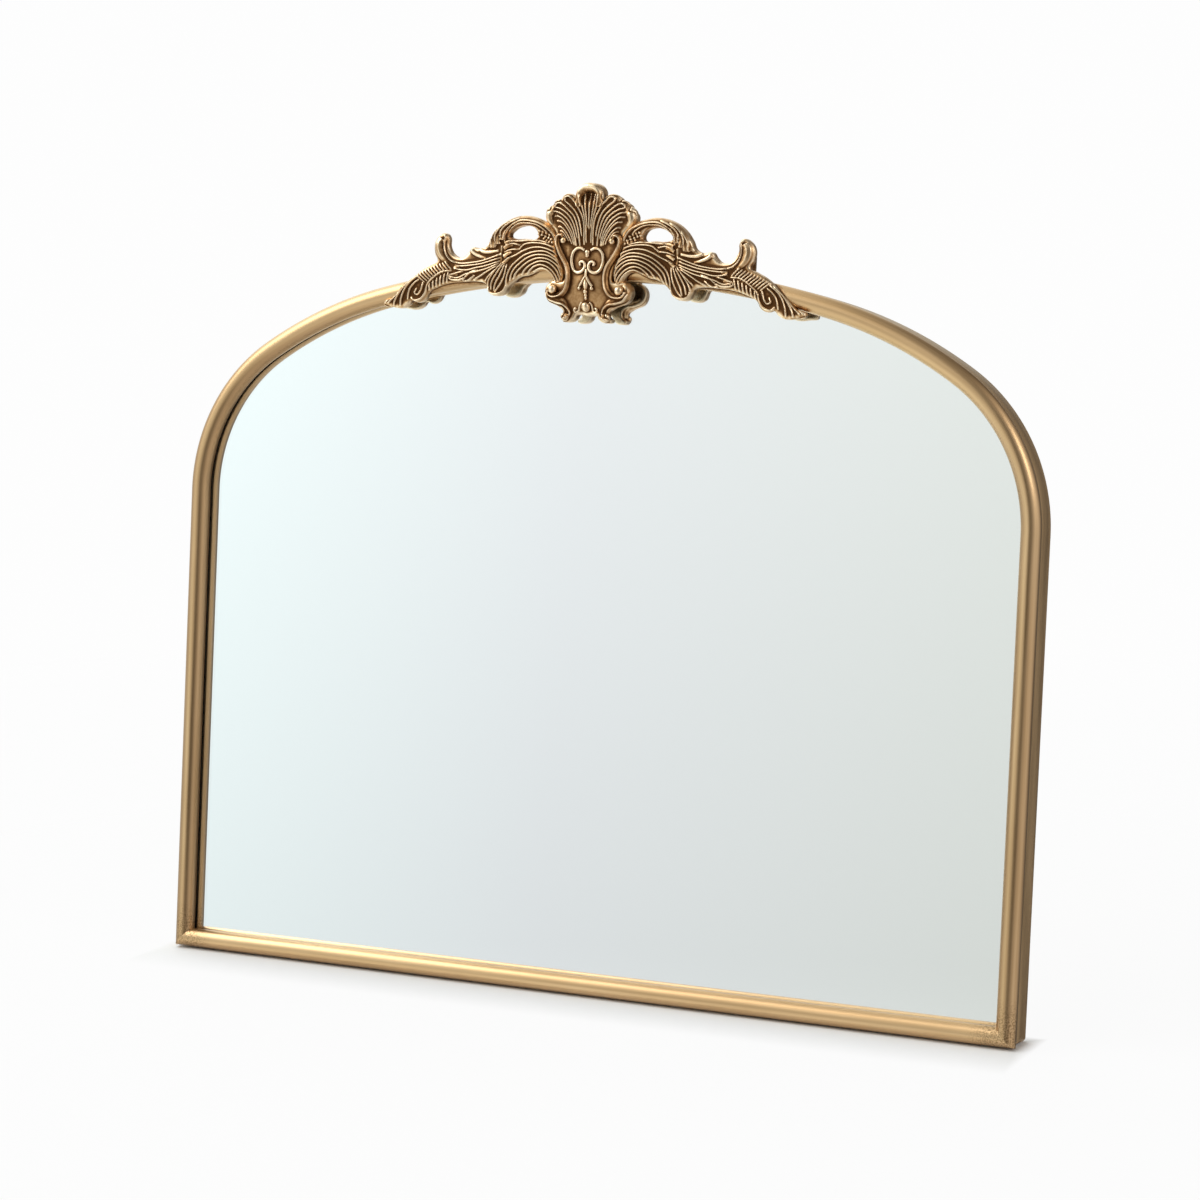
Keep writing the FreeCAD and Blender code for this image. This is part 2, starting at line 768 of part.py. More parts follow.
def casting(shape, channel, shares):
    """Seat a casting on the bead and add the posts at its back."""
    shape = shape.cut(channel)
    for share in shares:
        post, hole = crown_post(share)
        shape = shape.fuse(post).cut(hole)
    return largest(shape)


def crown_castings():
    """The cartouche and the two wings beside it."""
    inner = stay_shares[0]
    outer = stay_shares[1:]
    right = wing()
    left = across(right, crown_offset)
    channel = bead_channel()
    return {
        "crown_cartouche": casting(cartouche(), channel, (inner, -inner)),
        "crown_wing_right": casting(right, channel, outer),
        "crown_wing_left": casting(left, channel, [-share for share in outer]),
    }


def crown_stay():
    """Angle of flat steel: a foot on the rim and an upright behind the crown."""
    half = stay_width / 2
    upright = span_box(Vector(-half, stay_front, -stay_height), Vector(half, stay_rear, rim_inset))
    foot = span_box(
        Vector(-half, stay_front, rim_inset - stay_thickness), Vector(half, stay_front + stay_foot, rim_inset)
    )
    hole = rod(
        crown_screw_radius + thread_clearance,
        Vector(0, stay_front - overrun, -post_height),
        Vector(0, stay_rear + overrun, -post_height),
    )
    return largest(upright.fuse(foot).removeSplitter().cut(hole))


def crown_fixings():
    """Stays on the rim and the screws that hold the castings to them."""
    screw = pan_screw(
        crown_screw_radius, stay_thickness + crown_screw_grip, crown_head_radius, crown_head_height
    )
    screw.translate(Vector(0, stay_rear, -post_height))
    places = [stay_station(side * share) for side in (-1, 1) for share in stay_shares]
    return {
        "crown_stays": Part.makeCompound([placed(crown_stay(), place) for place in places]),
        "crown_screws": Part.makeCompound([largest(placed(screw, place)) for place in places]),
    }


def main():
    """Write one file for each piece."""
    os.makedirs("parts", exist_ok=True)
    nodes = {}
    for make in (frame_lengths, glazing, board_holders, hangers, crown_castings, crown_fixings):
        nodes.update(make())
    for name, shape in nodes.items():
        shape.exportStep("parts/%s.step" % name)


main()
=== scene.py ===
# Arched wall mirror with a cast scroll crown: the gilt work in full relief, and every finish.
import math
import bmesh
import bpy
import numpy as np
from mathutils import Matrix, Vector
from mathutils.kdtree import KDTree


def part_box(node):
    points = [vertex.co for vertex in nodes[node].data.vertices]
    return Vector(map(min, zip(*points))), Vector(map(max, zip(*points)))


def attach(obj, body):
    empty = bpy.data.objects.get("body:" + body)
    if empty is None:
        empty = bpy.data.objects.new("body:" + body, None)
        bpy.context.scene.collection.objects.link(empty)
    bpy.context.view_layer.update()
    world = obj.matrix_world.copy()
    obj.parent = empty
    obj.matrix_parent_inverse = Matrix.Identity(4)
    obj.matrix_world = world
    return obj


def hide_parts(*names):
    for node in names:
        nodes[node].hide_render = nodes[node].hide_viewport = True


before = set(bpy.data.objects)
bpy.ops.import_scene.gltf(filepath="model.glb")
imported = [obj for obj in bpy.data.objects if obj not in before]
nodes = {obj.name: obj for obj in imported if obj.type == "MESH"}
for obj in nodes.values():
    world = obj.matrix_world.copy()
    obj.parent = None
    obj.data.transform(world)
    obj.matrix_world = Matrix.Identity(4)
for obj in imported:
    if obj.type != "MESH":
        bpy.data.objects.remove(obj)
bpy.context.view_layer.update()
scene = bpy.context.scene
mm = 0.001

# Frame outline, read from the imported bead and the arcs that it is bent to
bead_low, bead_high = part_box("bead_arch")
half_width = bead_high.x
foot_z = bead_low.z
bead_radius = 9.5 * mm
bead_y = bead_low.y + bead_radius
bead_back_y = bead_high.y
shoulder_z = 34.0 * mm
shoulder_radius = 183.0 * mm
haunch_radius = 442.0 * mm
top_radius = 967.5 * mm
shoulder_turn = math.radians(56.4)
mitre_gap = 0.08 * mm

# Rim strip behind the bead, the painted contact shade on it where it meets the bead, and the grain at the
# welded corners
rim_outer_inset = 1.6 * mm
rim_thickness = 2.5 * mm
rim_edge = 0.4 * mm
rim_corner = 4.0 * mm
seam_shade_width = 2.2 * mm
weld_reach = 48.0 * mm

# How far the silver film is let into the glass
film_bite = 0.05 * mm

# Fineness of the lengths: steps, smallest reaches that count, and degrees past which an edge is sharp
section_sides = 56
shoulder_steps = 44
haunch_steps = 24
top_steps = 60
corner_steps = 8
edge_steps = 3
hair = 1e-6
cut_reach = 1e-7
length_sharp = 40.0
plate_sharp = 30.0

# Crown casting: its drawings are in millimetres, from its own middle line and from the frame's foot
crown_x = -8.4 * mm
casting_back = 3.0
casting_front = 10.5
casting_edge = 1.3
casting_grain = 0.42
channel_gap = 0.3 * mm
channel_radius = bead_radius + channel_gap
post_radius = 3.8 * mm
post_rise = 16.0 * mm
post_back_y = -28.3 * mm
post_reach = 6.0 * mm
post_root_y = bead_y - post_reach
cartouche_posts = (-29.925, 29.925)
wing_posts = (98.1, 159.975)
stay_rise = 12.0 * mm
stay_taper = 0.45
stay_cut = 0.12

# Fineness of the castings
outline_steps = 6
bar_steps = 5
round_steps = 3
ball_steps = 3
post_sides = 24
stretch_samples = 12
border_samples = 900
drawing_merge = 1e-4
ease_share = 0.5
ease_rounds = 3
casting_faces = 192000


def arch_arcs():
    """Centre, radius, start, end and steps of each arc of the outline, from the right stile to the left."""
    shoulder = Vector((half_width - shoulder_radius, shoulder_z))
    toward = Vector((math.cos(shoulder_turn), math.sin(shoulder_turn)))
    haunch = shoulder + (shoulder_radius - haunch_radius) * toward
    haunch_end = math.acos(haunch.x / (top_radius - haunch_radius))
    top = Vector((0.0, haunch.y - (top_radius - haunch_radius) * math.sin(haunch_end)))
    left_haunch = Vector((-haunch.x, haunch.y))
    left_shoulder = Vector((-shoulder.x, shoulder.y))
    return [
        (shoulder, shoulder_radius, 0.0, shoulder_turn, shoulder_steps),
        (haunch, haunch_radius, shoulder_turn, haunch_end, haunch_steps),
        (top, top_radius, haunch_end, math.pi - haunch_end, top_steps),
        (left_haunch, haunch_radius, math.pi - haunch_end, math.pi - shoulder_turn, haunch_steps),
        (left_shoulder, shoulder_radius, math.pi - shoulder_turn, math.pi, shoulder_steps),
    ]


arcs = arch_arcs()
top_centre = arcs[2][0]


def along_outline(x, z):
    """Distance along the arched length from the right foot, and depth inside the outline."""
    right = abs(x)
    distance = shoulder_z - foot_z
    half_length = distance + sum(radius * (end - start) for _, radius, start, end, _ in arcs) / 2
    if z <= shoulder_z:
        distance = z - foot_z
        inset = half_width - right
    else:
        for centre, radius, start, end, _ in arcs[:3]:
            spoke = Vector((right, z)) - centre
            angle = math.atan2(spoke.y, spoke.x)
            inset = radius - spoke.length
            distance += radius * (min(angle, end) - start)
            if angle <= end:
                break
    if x < 0.0:
        distance = 2 * half_length - distance
    return distance, inset


def add_piece(name, mesh, material, slot, *replaced):
    """Place a finished mesh on the frame, standing for the CAD nodes that it replaces."""
    piece = bpy.data.objects.new(name, mesh)
    scene.collection.objects.link(piece)
    mesh.materials.clear()
    mesh.materials.append(material)
    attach(piece, "frame")
    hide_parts(*replaced)


def mesh_from(bm, name, sharp_angle):
    """Close a bmesh into a smooth-shaded mesh with its sharp edges kept."""
    bmesh.ops.remove_doubles(bm, verts=bm.verts[:], dist=hair)
    bmesh.ops.recalc_face_normals(bm, faces=bm.faces[:])
    mesh = bpy.data.meshes.new(name)
    bm.to_mesh(mesh)
    bm.free()
    mesh.shade_smooth()
    mesh.set_sharp_from_angle(angle=math.radians(sharp_angle))
    return mesh


# Bent and straight lengths of the frame
def bead_section(bm, place):
    """Ring of edges of the bead: a round bar with a flattened back, square to the stile."""
    bmesh.ops.create_circle(
        bm, cap_ends=True, segments=section_sides, radius=bead_radius, matrix=Matrix.Translation(place)
    )
    bmesh.ops.bisect_plane(
        bm,
        geom=bm.verts[:] + bm.edges[:] + bm.faces[:],
        dist=cut_reach,
        plane_co=(0.0, bead_back_y, 0.0),
        plane_no=(0.0, 1.0, 0.0),
        clear_outer=True,
    )
    bmesh.ops.delete(bm, geom=bm.faces[:], context="FACES_ONLY")
    return bm.edges[:]


def rim_section(bm, place):
    """Ring of edges of the rim strip: a flat bar with eased corners, square to the stile."""
    size = Matrix.Diagonal((rim_thickness, -bead_back_y, 1.0, 1.0))
    bmesh.ops.create_grid(
        bm, x_segments=1, y_segments=1, size=0.5, matrix=Matrix.Translation(place) @ size
    )
    bmesh.ops.bevel(
        bm,
        geom=bm.verts[:],
        offset=rim_edge,
        affect="VERTICES",
        segments=edge_steps,
        profile=0.5,
        material=-1,
    )
    bmesh.ops.delete(bm, geom=bm.faces[:], context="FACES_ONLY")
    return bm.edges[:]


def ring_of(geometry):
    """Vertices and edges of the newest ring of a run."""
    verts = [item for item in geometry if isinstance(item, bmesh.types.BMVert)]
    edges = [item for item in geometry if isinstance(item, bmesh.types.BMEdge)]
    return verts, edges


def turn_corner(bm, ring, side, toward):
    """Carry the end of a rim length round half of a lower corner, to the joint with its neighbour."""
    edges = [edge for edge in bm.edges if all(vert in ring for vert in edge.verts)]
    inward = rim_outer_inset + rim_corner
    bmesh.ops.spin(
        bm,
        geom=ring + edges,
        cent=(side * (half_width - inward), 0.0, foot_z + inward),
        axis=(0.0, side * toward, 0.0),
        angle=math.pi / 4 - mitre_gap / rim_corner,
        steps=corner_steps,
    )


def close_length(bm, name):
    """Close both ends of a length and make it a mesh."""
    bmesh.ops.holes_fill(bm, edges=[edge for edge in bm.edges if edge.is_boundary], sides=0)
    return mesh_from(bm, name, length_sharp)


def arched_length(name, section, inset, y, rounded=False):
    """A length up the right stile, over the arch and down the left stile, with a joint at both feet."""
    bm = bmesh.new()
    edges = section(bm, Vector((half_width - inset, y, foot_z)))
    first = bm.verts[:]
    step = bmesh.ops.extrude_edge_only(bm, edges=edges)
    verts, edges = ring_of(step["geom"])
    for vert in verts:
        vert.co.z = shoulder_z
    edges = [edge for edge in edges if all(vert in verts for vert in edge.verts)]
    for centre, radius, start, end, steps in arcs:
        step = bmesh.ops.spin(
            bm,
            geom=verts + edges,
            cent=(centre.x, 0.0, centre.y),
            axis=(0.0, -1.0, 0.0),
            angle=end - start,
            steps=steps,
        )
        verts, edges = ring_of(step["geom_last"])
    step = bmesh.ops.extrude_edge_only(bm, edges=edges)
    last, edges = ring_of(step["geom"])
    for vert in first + last:
        if rounded:
            vert.co.z = foot_z + rim_outer_inset + rim_corner
        else:
            vert.co.z = foot_z + half_width - abs(vert.co.x) + mitre_gap
    if rounded:
        turn_corner(bm, first, 1.0, 1.0)
        turn_corner(bm, last, -1.0, 1.0)
    return close_length(bm, name)


def bottom_length(name, section, inset, y, rounded=False):
    """The straight bottom length, with a joint to both stiles."""
    bm = bmesh.new()
    edges = section(bm, Vector((half_width - inset, y, 0.0)))
    first = bm.verts[:]
    for vert in first:
        vert.co = Vector((0.0, vert.co.y, foot_z + half_width - vert.co.x))
    step = bmesh.ops.extrude_edge_only(bm, edges=edges)
    last, edges = ring_of(step["geom"])
    for side, ring in ((1.0, first), (-1.0, last)):
        for vert in ring:
            if rounded:
                vert.co.x = side * (half_width - rim_outer_inset - rim_corner)
            else:
                vert.co.x = side * (half_width - (vert.co.z - foot_z) - mitre_gap)
        if rounded:
            turn_corner(bm, ring, side, -1.0)
    return close_length(bm, name)


def lay_run(mesh, along):
    """Attribute run: distance along a length and round its section."""
    run = []
    for vert in mesh.vertices:
        distance, inset = along(vert.co)
        angle = math.atan2(inset - bead_radius, bead_y - vert.co.y)
        run.extend((distance, angle * bead_radius, 0.0))
    mesh.attributes.new("run", "FLOAT_VECTOR", "POINT").data.foreach_set("vector", run)


def arched_run(point):
    return along_outline(point.x, point.z)


def bottom_run(point):
    return point.x, point.z - foot_z


# Crown drawings: a bar is a rounded ridge, given as its radii from start to end, how far its crest
# stands above the casting's flat front, and the points that it passes
def bar(radii, crest, *points):
    return radii, crest, points


shield_outline = (
    (0, 791), (8, 789.5), (13.3, 783), (13.5, 777), (15.5, 774.5), (20, 778.5), (27, 779), (32, 775.5),
    (33, 773), (38, 772.3), (42, 769), (42.5, 764.5), (47, 763), (49, 757.5), (46, 751), (41, 747),
    (37, 742), (36.5, 736), (34.5, 728), (31.5, 720), (27.5, 711), (25.5, 703), (26.5, 697), (31, 696),
    (37, 697), (42.5, 694.5), (46, 689.5), (46.3, 684), (43, 678), (34, 673.8), (25, 671.5), (21.5, 667),
    (22.5, 662.5), (26.5, 658.5), (19, 656.5), (13, 659.5), (10.5, 663.5), (5, 664), (0, 663),
)
wing_outline = (
    (52, 754.3), (60, 757.3), (71, 759), (86, 756), (99, 748), (107, 738), (112, 729), (121, 726),
    (129, 727), (133, 722), (140, 717), (149.5, 719), (155.5, 727), (156.5, 737), (160.5, 740.5), (167, 738),
    (172, 731), (171.5, 720), (168.5, 713), (175, 709), (184, 704.5), (193, 698), (201, 691.5), (209, 684),
    (217, 675.5), (227.5, 669.8), (216, 666), (206, 665.5), (198.5, 669), (195, 673), (188, 671.5),
    (181, 674.5), (176, 682), (166, 687), (152, 691), (138, 692.5), (122, 693.5), (113, 691.5), (110, 686),
    (106.5, 681.5), (99.5, 680), (91.5, 683), (87, 689.5), (80, 695.5), (72, 699.5), (66, 700.5),
    (60, 702.5), (54, 705), (48.5, 705.8), (43, 704), (38.5, 699.5), (35.5, 694), (31, 693), (28, 697),
    (27, 703), (29, 711.5), (33, 720), (35.8, 729.5), (36.3, 738.5), (40.5, 746.5), (46, 751.5),
)
wing_opening = (
    (57, 737.5), (58.5, 745), (66, 748.8), (76, 748.3), (84, 744.5), (87.8, 739), (84, 736.8), (70, 736.5),
)
# Ridges are fine raised lines with painted shade on their flanks, each through its own points
shell_ridges = (
    ((0, 747), (0, 755), (0, 766), (0, 781)),
    ((1.6, 748), (2.8, 757), (4.3, 767), (5, 774), (5.2, 781)),
    ((2.6, 734), (3.2, 747), (4.6, 757), (7.2, 766.5), (9.4, 773), (10.2, 779)),
    ((4.6, 732), (5, 748), (6.6, 757), (9.8, 763.5), (13.8, 770), (19.2, 776), (23.5, 778), (26.5, 776.5),
     (26, 773.5), (21.5, 770), (16.5, 765.5), (13, 760.5), (10.8, 755), (8.8, 747.5), (7.6, 740)),
    ((9.2, 731), (10.6, 741), (12.8, 750.5), (16.5, 759), (22.5, 765), (28.2, 769.5), (33, 771.7),
     (36.3, 770.2), (37, 767.5), (32, 766.2), (26, 763), (20.2, 757.8), (16, 750.5), (13.2, 742),
     (12, 737)),
    ((13, 731), (14.8, 739.5), (17.5, 747), (22, 754.5), (28, 759.7), (33.5, 762.5), (38.5, 763.3)),
    ((14.2, 731), (16.2, 738.5), (19.2, 745), (23.5, 751), (28.5, 756), (33, 758.5), (37.5, 758.7)),
    ((15.6, 731.5), (18, 738.5), (21.5, 745), (26, 750.5), (30.5, 753.5), (34.5, 754)),
    ((17.8, 732.5), (21.3, 739), (25.8, 745), (30.3, 748.3), (33, 748.5)),
    ((21.8, 735.5), (25.4, 741.3), (29, 744.3), (31, 744.5)),
)
hood_bar = bar((2.8, 4.0, 4.8, 4.0, 2.8), 5.5, (-10.6, 768), (-11.6, 778), (-7.5, 784.5), (0, 786.6),
               (7.5, 784.5), (11.6, 778), (10.6, 768))
scroll_bars = (
    bar((2.4, 2.8, 3.0, 3.0, 3.0, 3.2, 3.0), 4.6, (27.5, 739.6), (31.5, 739.6), (33.4, 736), (33.2, 731.5),
        (30.6, 725), (26.4, 718), (22.5, 711.5), (20.4, 704.3), (20.4, 695), (22.6, 687.5), (28, 682.6),
        (34.8, 681.2), (39.2, 683), (40.8, 687)),
    bar((3.0, 5.2, 6.4, 6.2, 4.6, 3.4), 4.4, (39, 693.5), (41.5, 688), (39.5, 681.5), (32, 678.5),
        (25.5, 674.5), (21.5, 669), (21.5, 663)),
    bar((1.4, 1.7, 1.4), 3.0, (3.2, 726.2), (8.5, 728.3), (14, 725.8), (16.7, 719), (16, 711),
        (12.2, 705.5), (6.5, 705), (2.6, 708.5), (2.4, 713), (4.8, 715.2), (7.6, 714), (7, 711)),
    bar((1.0, 1.5, 1.2), 2.4, (0, 702.5), (1.4, 699.5), (4.2, 695), (7, 691.5)),
    bar((1.0, 1.2), 3.0, (4, 676), (6.2, 673.5), (7, 670.3), (8.3, 666.8), (11.3, 666.8), (12, 669),
        (10, 670.3)),
    bar((3.0, 5.6, 5.0, 3.0), 3.4, (37.5, 768.5), (43, 762.5), (44, 756.5), (40.5, 750)),
    bar((2.2, 3.0, 2.2), 0.8, (16.5, 776), (21.5, 778), (27, 777.6), (31, 774.6)),
    bar((2.2, 2.8, 2.2), 0.6, (32, 773.4), (37, 771.6), (40.5, 768)),
)
scroll_ridges = (
    ((25.2, 737.6), (27.5, 740.3), (31.3, 740.2), (33.8, 737.5), (33.8, 732), (30.8, 725), (26.3, 718),
     (22.2, 711.5), (20, 704.3), (20, 695), (22.2, 687.5), (27.7, 682), (34.8, 680.6), (39.6, 682.2),
     (41.6, 686.5)),
    ((43.5, 684), (40, 678), (32.3, 675.3), (24, 673.5), (19, 669.5), (17.3, 665), (19.5, 661), (24, 658.8)),
)
pendant_bars = (
    bar((1.3,), 2.6, (0, 708), (0, 701)),
    bar((1.2, 2.8, 1.4), 3.2, (0, 699), (0, 693), (0, 687)),
)
# Balls: radius, how far the middle stands above the flat front, and the place
cartouche_balls = (
    (3.0, 3.0, (26.3, 735)), (4.6, 4.0, (35.8, 687.8)), (4.4, 1.0, (22, 661.5)),
    (2.6, 2.0, (0, 724.2)), (2.0, 2.0, (0, 721)), (1.7, 1.6, (6.8, 689.3)), (2.2, 1.6, (0, 686)),
    (1.7, 1.2, (0, 682.5)), (1.5, 1.2, (0, 679.5)), (4.6, 2.4, (0, 671.5)),
)
arch_bars = (
    bar((2.6, 3.8, 4.4, 4.2, 3.4), 2.6, (41, 742), (46, 747.5), (54, 752), (64, 754), (74, 754.3),
        (84, 752), (92, 748), (99, 741.5), (104, 734), (107.5, 727)),
    bar((1.4, 2.2, 1.6), 2.0, (98, 724), (110, 722.5), (115.5, 723), (120, 725)),
    bar((1.4, 2.2, 2.2), 2.0, (112, 716.5), (119.5, 718.5), (126, 721.5), (129, 724)),
    bar((2.6, 5.4, 6.4, 5.4), 3.6, (150, 709.5), (160, 715.5), (165, 723), (165.6, 730), (162.5, 735)),
    bar((1.6,), 0.9, (94.2, 729), (94.8, 720), (94.2, 712)),
    bar((1.0, 1.8, 2.0), 2.6, (82, 734), (87, 733), (90.5, 731.5)),
    bar((1.0, 1.9, 2.1), 2.6, (82, 729.6), (87, 729), (91.5, 726.5)),
    bar((1.0, 1.9, 2.1), 2.6, (83, 723), (88, 721), (91.8, 718.6)),
    bar((1.0, 1.7, 1.9), 2.6, (84, 717.4), (88.5, 714.6), (92.3, 711.8)),
    bar((1.2, 2.0, 2.4), 3.4, (87, 748.5), (92.8, 741.5), (93.5, 734.5)),
    bar((1.2, 2.0, 2.4), 3.2, (93, 748), (98.3, 739), (97.6, 730.5)),
    bar((1.2, 2.0, 2.4), 3.0, (99.5, 744.5), (103.6, 735.5), (102.5, 727)),
    bar((1.0, 1.6, 2.0), 2.4, (141, 707.4), (144.5, 706.8), (147, 706.5)),
    bar((1.0, 1.6, 2.0), 2.4, (143, 699.6), (148, 698.6), (151.5, 697.6)),
)
arch_ridges = (
    ((35.5, 735), (41.5, 744), (50, 750), (61, 753.4), (72.5, 754), (81, 751), (87, 746.4), (91, 740),
     (91.5, 733)),
    ((46, 743), (51, 747), (58, 750.3), (66, 751.5), (75, 751), (82, 748), (86.5, 743.5)),
    ((76.5, 755.5), (86.5, 751.3), (94.5, 744), (96, 735)),
    ((86, 753.5), (95, 748), (101, 739), (100.5, 729)),
    ((98, 746.5), (105.5, 736.5), (105.5, 728)),
    ((105.5, 740), (109.5, 733), (110.5, 728)),
    ((146, 711.8), (151, 713.3), (156.5, 718.3), (159.5, 725), (159.6, 731.5), (158.8, 736.2), (161, 738.6)),
)
fan_ridges = (
    ((43, 732.4), (52, 734.6), (63, 735), (74, 734), (82, 734)),
    ((36.5, 728), (47, 731.5), (58.5, 732.5), (68.5, 731), (75, 726)),
    ((33.5, 721), (37.5, 724.5), (49, 728), (60, 727.8), (70, 724.5), (79, 720), (90, 715.6)),
    ((30.5, 714), (35, 719), (44.5, 724), (56, 724), (67.5, 720.7), (76.5, 715), (83.5, 708.5),
     (87.5, 699.5), (88.5, 690)),
    ((28.8, 708), (32.5, 714.5), (42, 720), (54, 721), (65, 717.8), (74, 712), (81, 705), (84.5, 696)),
    ((28.3, 702), (32, 710), (41.5, 716.5), (52, 717.8), (62, 715), (70, 710), (77, 703.5), (80.5, 697.5)),
    ((29.3, 698), (33, 706), (41, 713), (50.5, 714.8), (59.5, 712), (66.5, 707.5), (71.5, 701.5)),
    ((31, 695.5), (35, 702.5), (41.5, 708.5), (49.5, 711.3), (56.5, 710), (62, 706.2), (65, 702.5)),
    ((34, 695), (37.5, 701), (43, 706), (49, 708), (54.5, 706.5), (58, 704.5)),
    ((74, 730), (82.5, 731.4), (90, 729.4)),
    ((75.5, 726), (84, 725.4), (91, 723)),
    ((88.5, 711), (90.5, 699.5), (95.5, 689.5), (100.5, 683.5)),
    ((90.5, 711), (95, 700.5), (99.5, 692), (101, 685)),
    ((92.5, 711.5), (98.5, 702.5), (103.5, 694), (105, 686.5)),
    ((94.5, 711.5), (101.5, 704), (107, 696), (109, 690)),
    ((88, 691), (91.5, 684.8), (99, 682), (106, 683), (109, 688)),
)
leaf_ridges = (
    ((95, 721), (105, 717.5), (116, 714), (127.5, 712), (138.5, 711), (146, 711.8)),
    ((96.5, 717.2), (108, 713.5), (117.5, 711), (127.5, 709.5), (138.5, 708.5), (146, 709)),
    ((96.5, 714), (111, 709.3), (122, 707), (133.5, 704.5), (146.5, 705.5)),
    ((97, 712), (110, 706.5), (121, 703.5), (133.5, 700.5), (142, 697), (151, 697)),
    ((98, 710), (109.5, 703.5), (117, 699), (124.5, 695.3)),
    ((98, 707.5), (105.5, 701), (111.5, 695)),
    ((119.5, 705), (128, 702.5), (136.5, 695), (132.5, 693.8), (124, 699)),
    ((136, 703.5), (144, 701.5), (152, 699), (151.5, 695.5), (142, 694.8), (134, 697.5)),
    ((150.5, 703.5), (160.5, 702.5), (169, 697.5), (176, 691.5), (179, 686)),
    ((178, 689.5), (180, 681), (185, 675.3), (192, 673.5), (195.5, 676)),
    ((182.5, 691.5), (184.5, 684), (188, 679.5), (191.5, 681), (190, 685)),
    ((190, 697), (197.5, 691.5), (203, 684.5), (206.5, 676), (207.5, 668.5)),
    ((187, 694.5), (193, 690), (197.5, 684), (199.5, 675)),
    ((193.5, 697), (202.5, 689), (209, 681), (213.5, 673), (215, 668)),
    ((196, 696.5), (206.5, 687), (214, 678), (221.5, 670.5)),
    ((195.5, 698.2), (203.5, 691), (211.5, 682.5), (219.5, 675), (226, 670.6)),
)
# Shape of a ridge: its height, reach, crest and fading ends, on faces turned forward, and the painted shade
# beside it
ridge_height = 2.3
ridge_reach = 1.8
ridge_crest = 0.25
ridge_fade = 3.0
ridge_end = 0.25
facing_gain = 2.5
facing_start = 0.5
flank_shade_steps = (0.5, 1.3, 2.4, 4.2)
flank_shade_amounts = (0.0, 1.0, 1.0, 0.0)
# Barbs of the leaf tail: how many, and the roots and tips of the first and the last
barbs = (
    (11, ((151, 705), (181, 692)), ((158, 712), (190.5, 699))),
    (6, ((153.5, 702.5), (175, 691.5)), ((155.5, 692.5), (175.5, 684.5))),
)
grape_radius = 1.35
grape_rise = 0.6
grapes = (
    (39, 733.2), (42.2, 734), (45.6, 735.3), (49.1, 736.8), (40.9, 736.3), (44.2, 737.6), (47.7, 738.8),
    (51.4, 740.2), (55, 741), (43.2, 740.2), (46.6, 741.7), (50.2, 743.1), (53.6, 744.1),
)
# Broad swellings of a casting: height, place, and reach across and upwards
cartouche_swells = (
    (3.0, 0.0, 697.0, 14.0, 13.0), (-3.0, 0.0, 667.0, 12.0, 9.0), (2.5, 0.0, 785.0, 40.0, 24.0),
    (-5.0, 0.0, 779.0, 7.0, 6.0),
)
wing_swells = (
    (2.2, 56.0, 722.0, 22.0, 10.0), (1.6, 122.0, 703.0, 30.0, 9.0), (1.2, 170.0, 698.0, 18.0, 9.0),
    (1.5, 100.0, 736.0, 12.0, 12.0), (1.5, 99.0, 690.0, 9.0, 9.0), (-2.6, 47.0, 738.5, 8.0, 4.5),
)
edge_round = 3.2
edge_drop = 2.4
# How far the fronts stand forward of a flat plate: the wing's by its distance from the middle line
cartouche_forward = 5.0
cartouche_flat = 22.0
cartouche_slope = 0.06
wing_forward = ((40.0, 5.0), (100.0, 3.5), (140.0, 2.0), (175.0, 0.6))
# Relief of a casting: rounds of smoothing and the share of each, and the height that counts as full
relief_rounds = ((10, 0.9), (50, 0.5))
relief_height = 0.35


def smooth_line(points, count, closed=False):
    """Evenly spread points on the smooth line through a few points."""
    knots = [Vector(point) for point in points]
    if closed:
        knots = [knots[-1], *knots, knots[0], knots[1]]
    else:
        knots = [2 * knots[0] - knots[1], *knots, 2 * knots[-1] - knots[-2]]
    line = []
    for start, one, two, end in zip(knots, knots[1:], knots[2:], knots[3:]):
        for share in np.linspace(0.0, 1.0, stretch_samples, endpoint=False):
            pull = (two - start) * share + (2 * start - 5 * one + 4 * two - end) * share ** 2
            pull += (3 * one - start - 3 * two + end) * share ** 3
            line.append(one + pull / 2)
    line.append(knots[-2])
    line = np.array(line)
    length = np.concatenate(([0.0], np.cumsum(np.hypot(*np.diff(line, axis=0).T))))
    spread = np.linspace(0.0, length[-1], count)
    return np.stack([np.interp(spread, length, line[:, axis]) for axis in range(2)], 1)


def evaluated_mesh(data):
    """Mesh of a curve, or of an object with its modifiers."""
    holder = data
    if not isinstance(data, bpy.types.Object):
        holder = bpy.data.objects.new("drawing", data)
    scene.collection.objects.link(holder)
    graph = bpy.context.evaluated_depsgraph_get()
    mesh = bpy.data.meshes.new_from_object(holder.evaluated_get(graph))
    bpy.data.objects.remove(holder)
    return mesh


def add_spline(curve, points, radii, closed):
    """A smooth line through points, with its thickness spread along it."""
    spline = curve.splines.new("BEZIER")
    spline.bezier_points.add(len(points) - 1)
    spline.use_cyclic_u = closed
    shares = np.linspace(0.0, 1.0, len(points))
    thickness = np.interp(shares, np.linspace(0.0, 1.0, len(radii)), radii)
    for knot, point, radius in zip(spline.bezier_points, points, thickness):
        knot.co = point
        knot.radius = radius
        knot.handle_left_type = "AUTO"
        knot.handle_right_type = "AUTO"


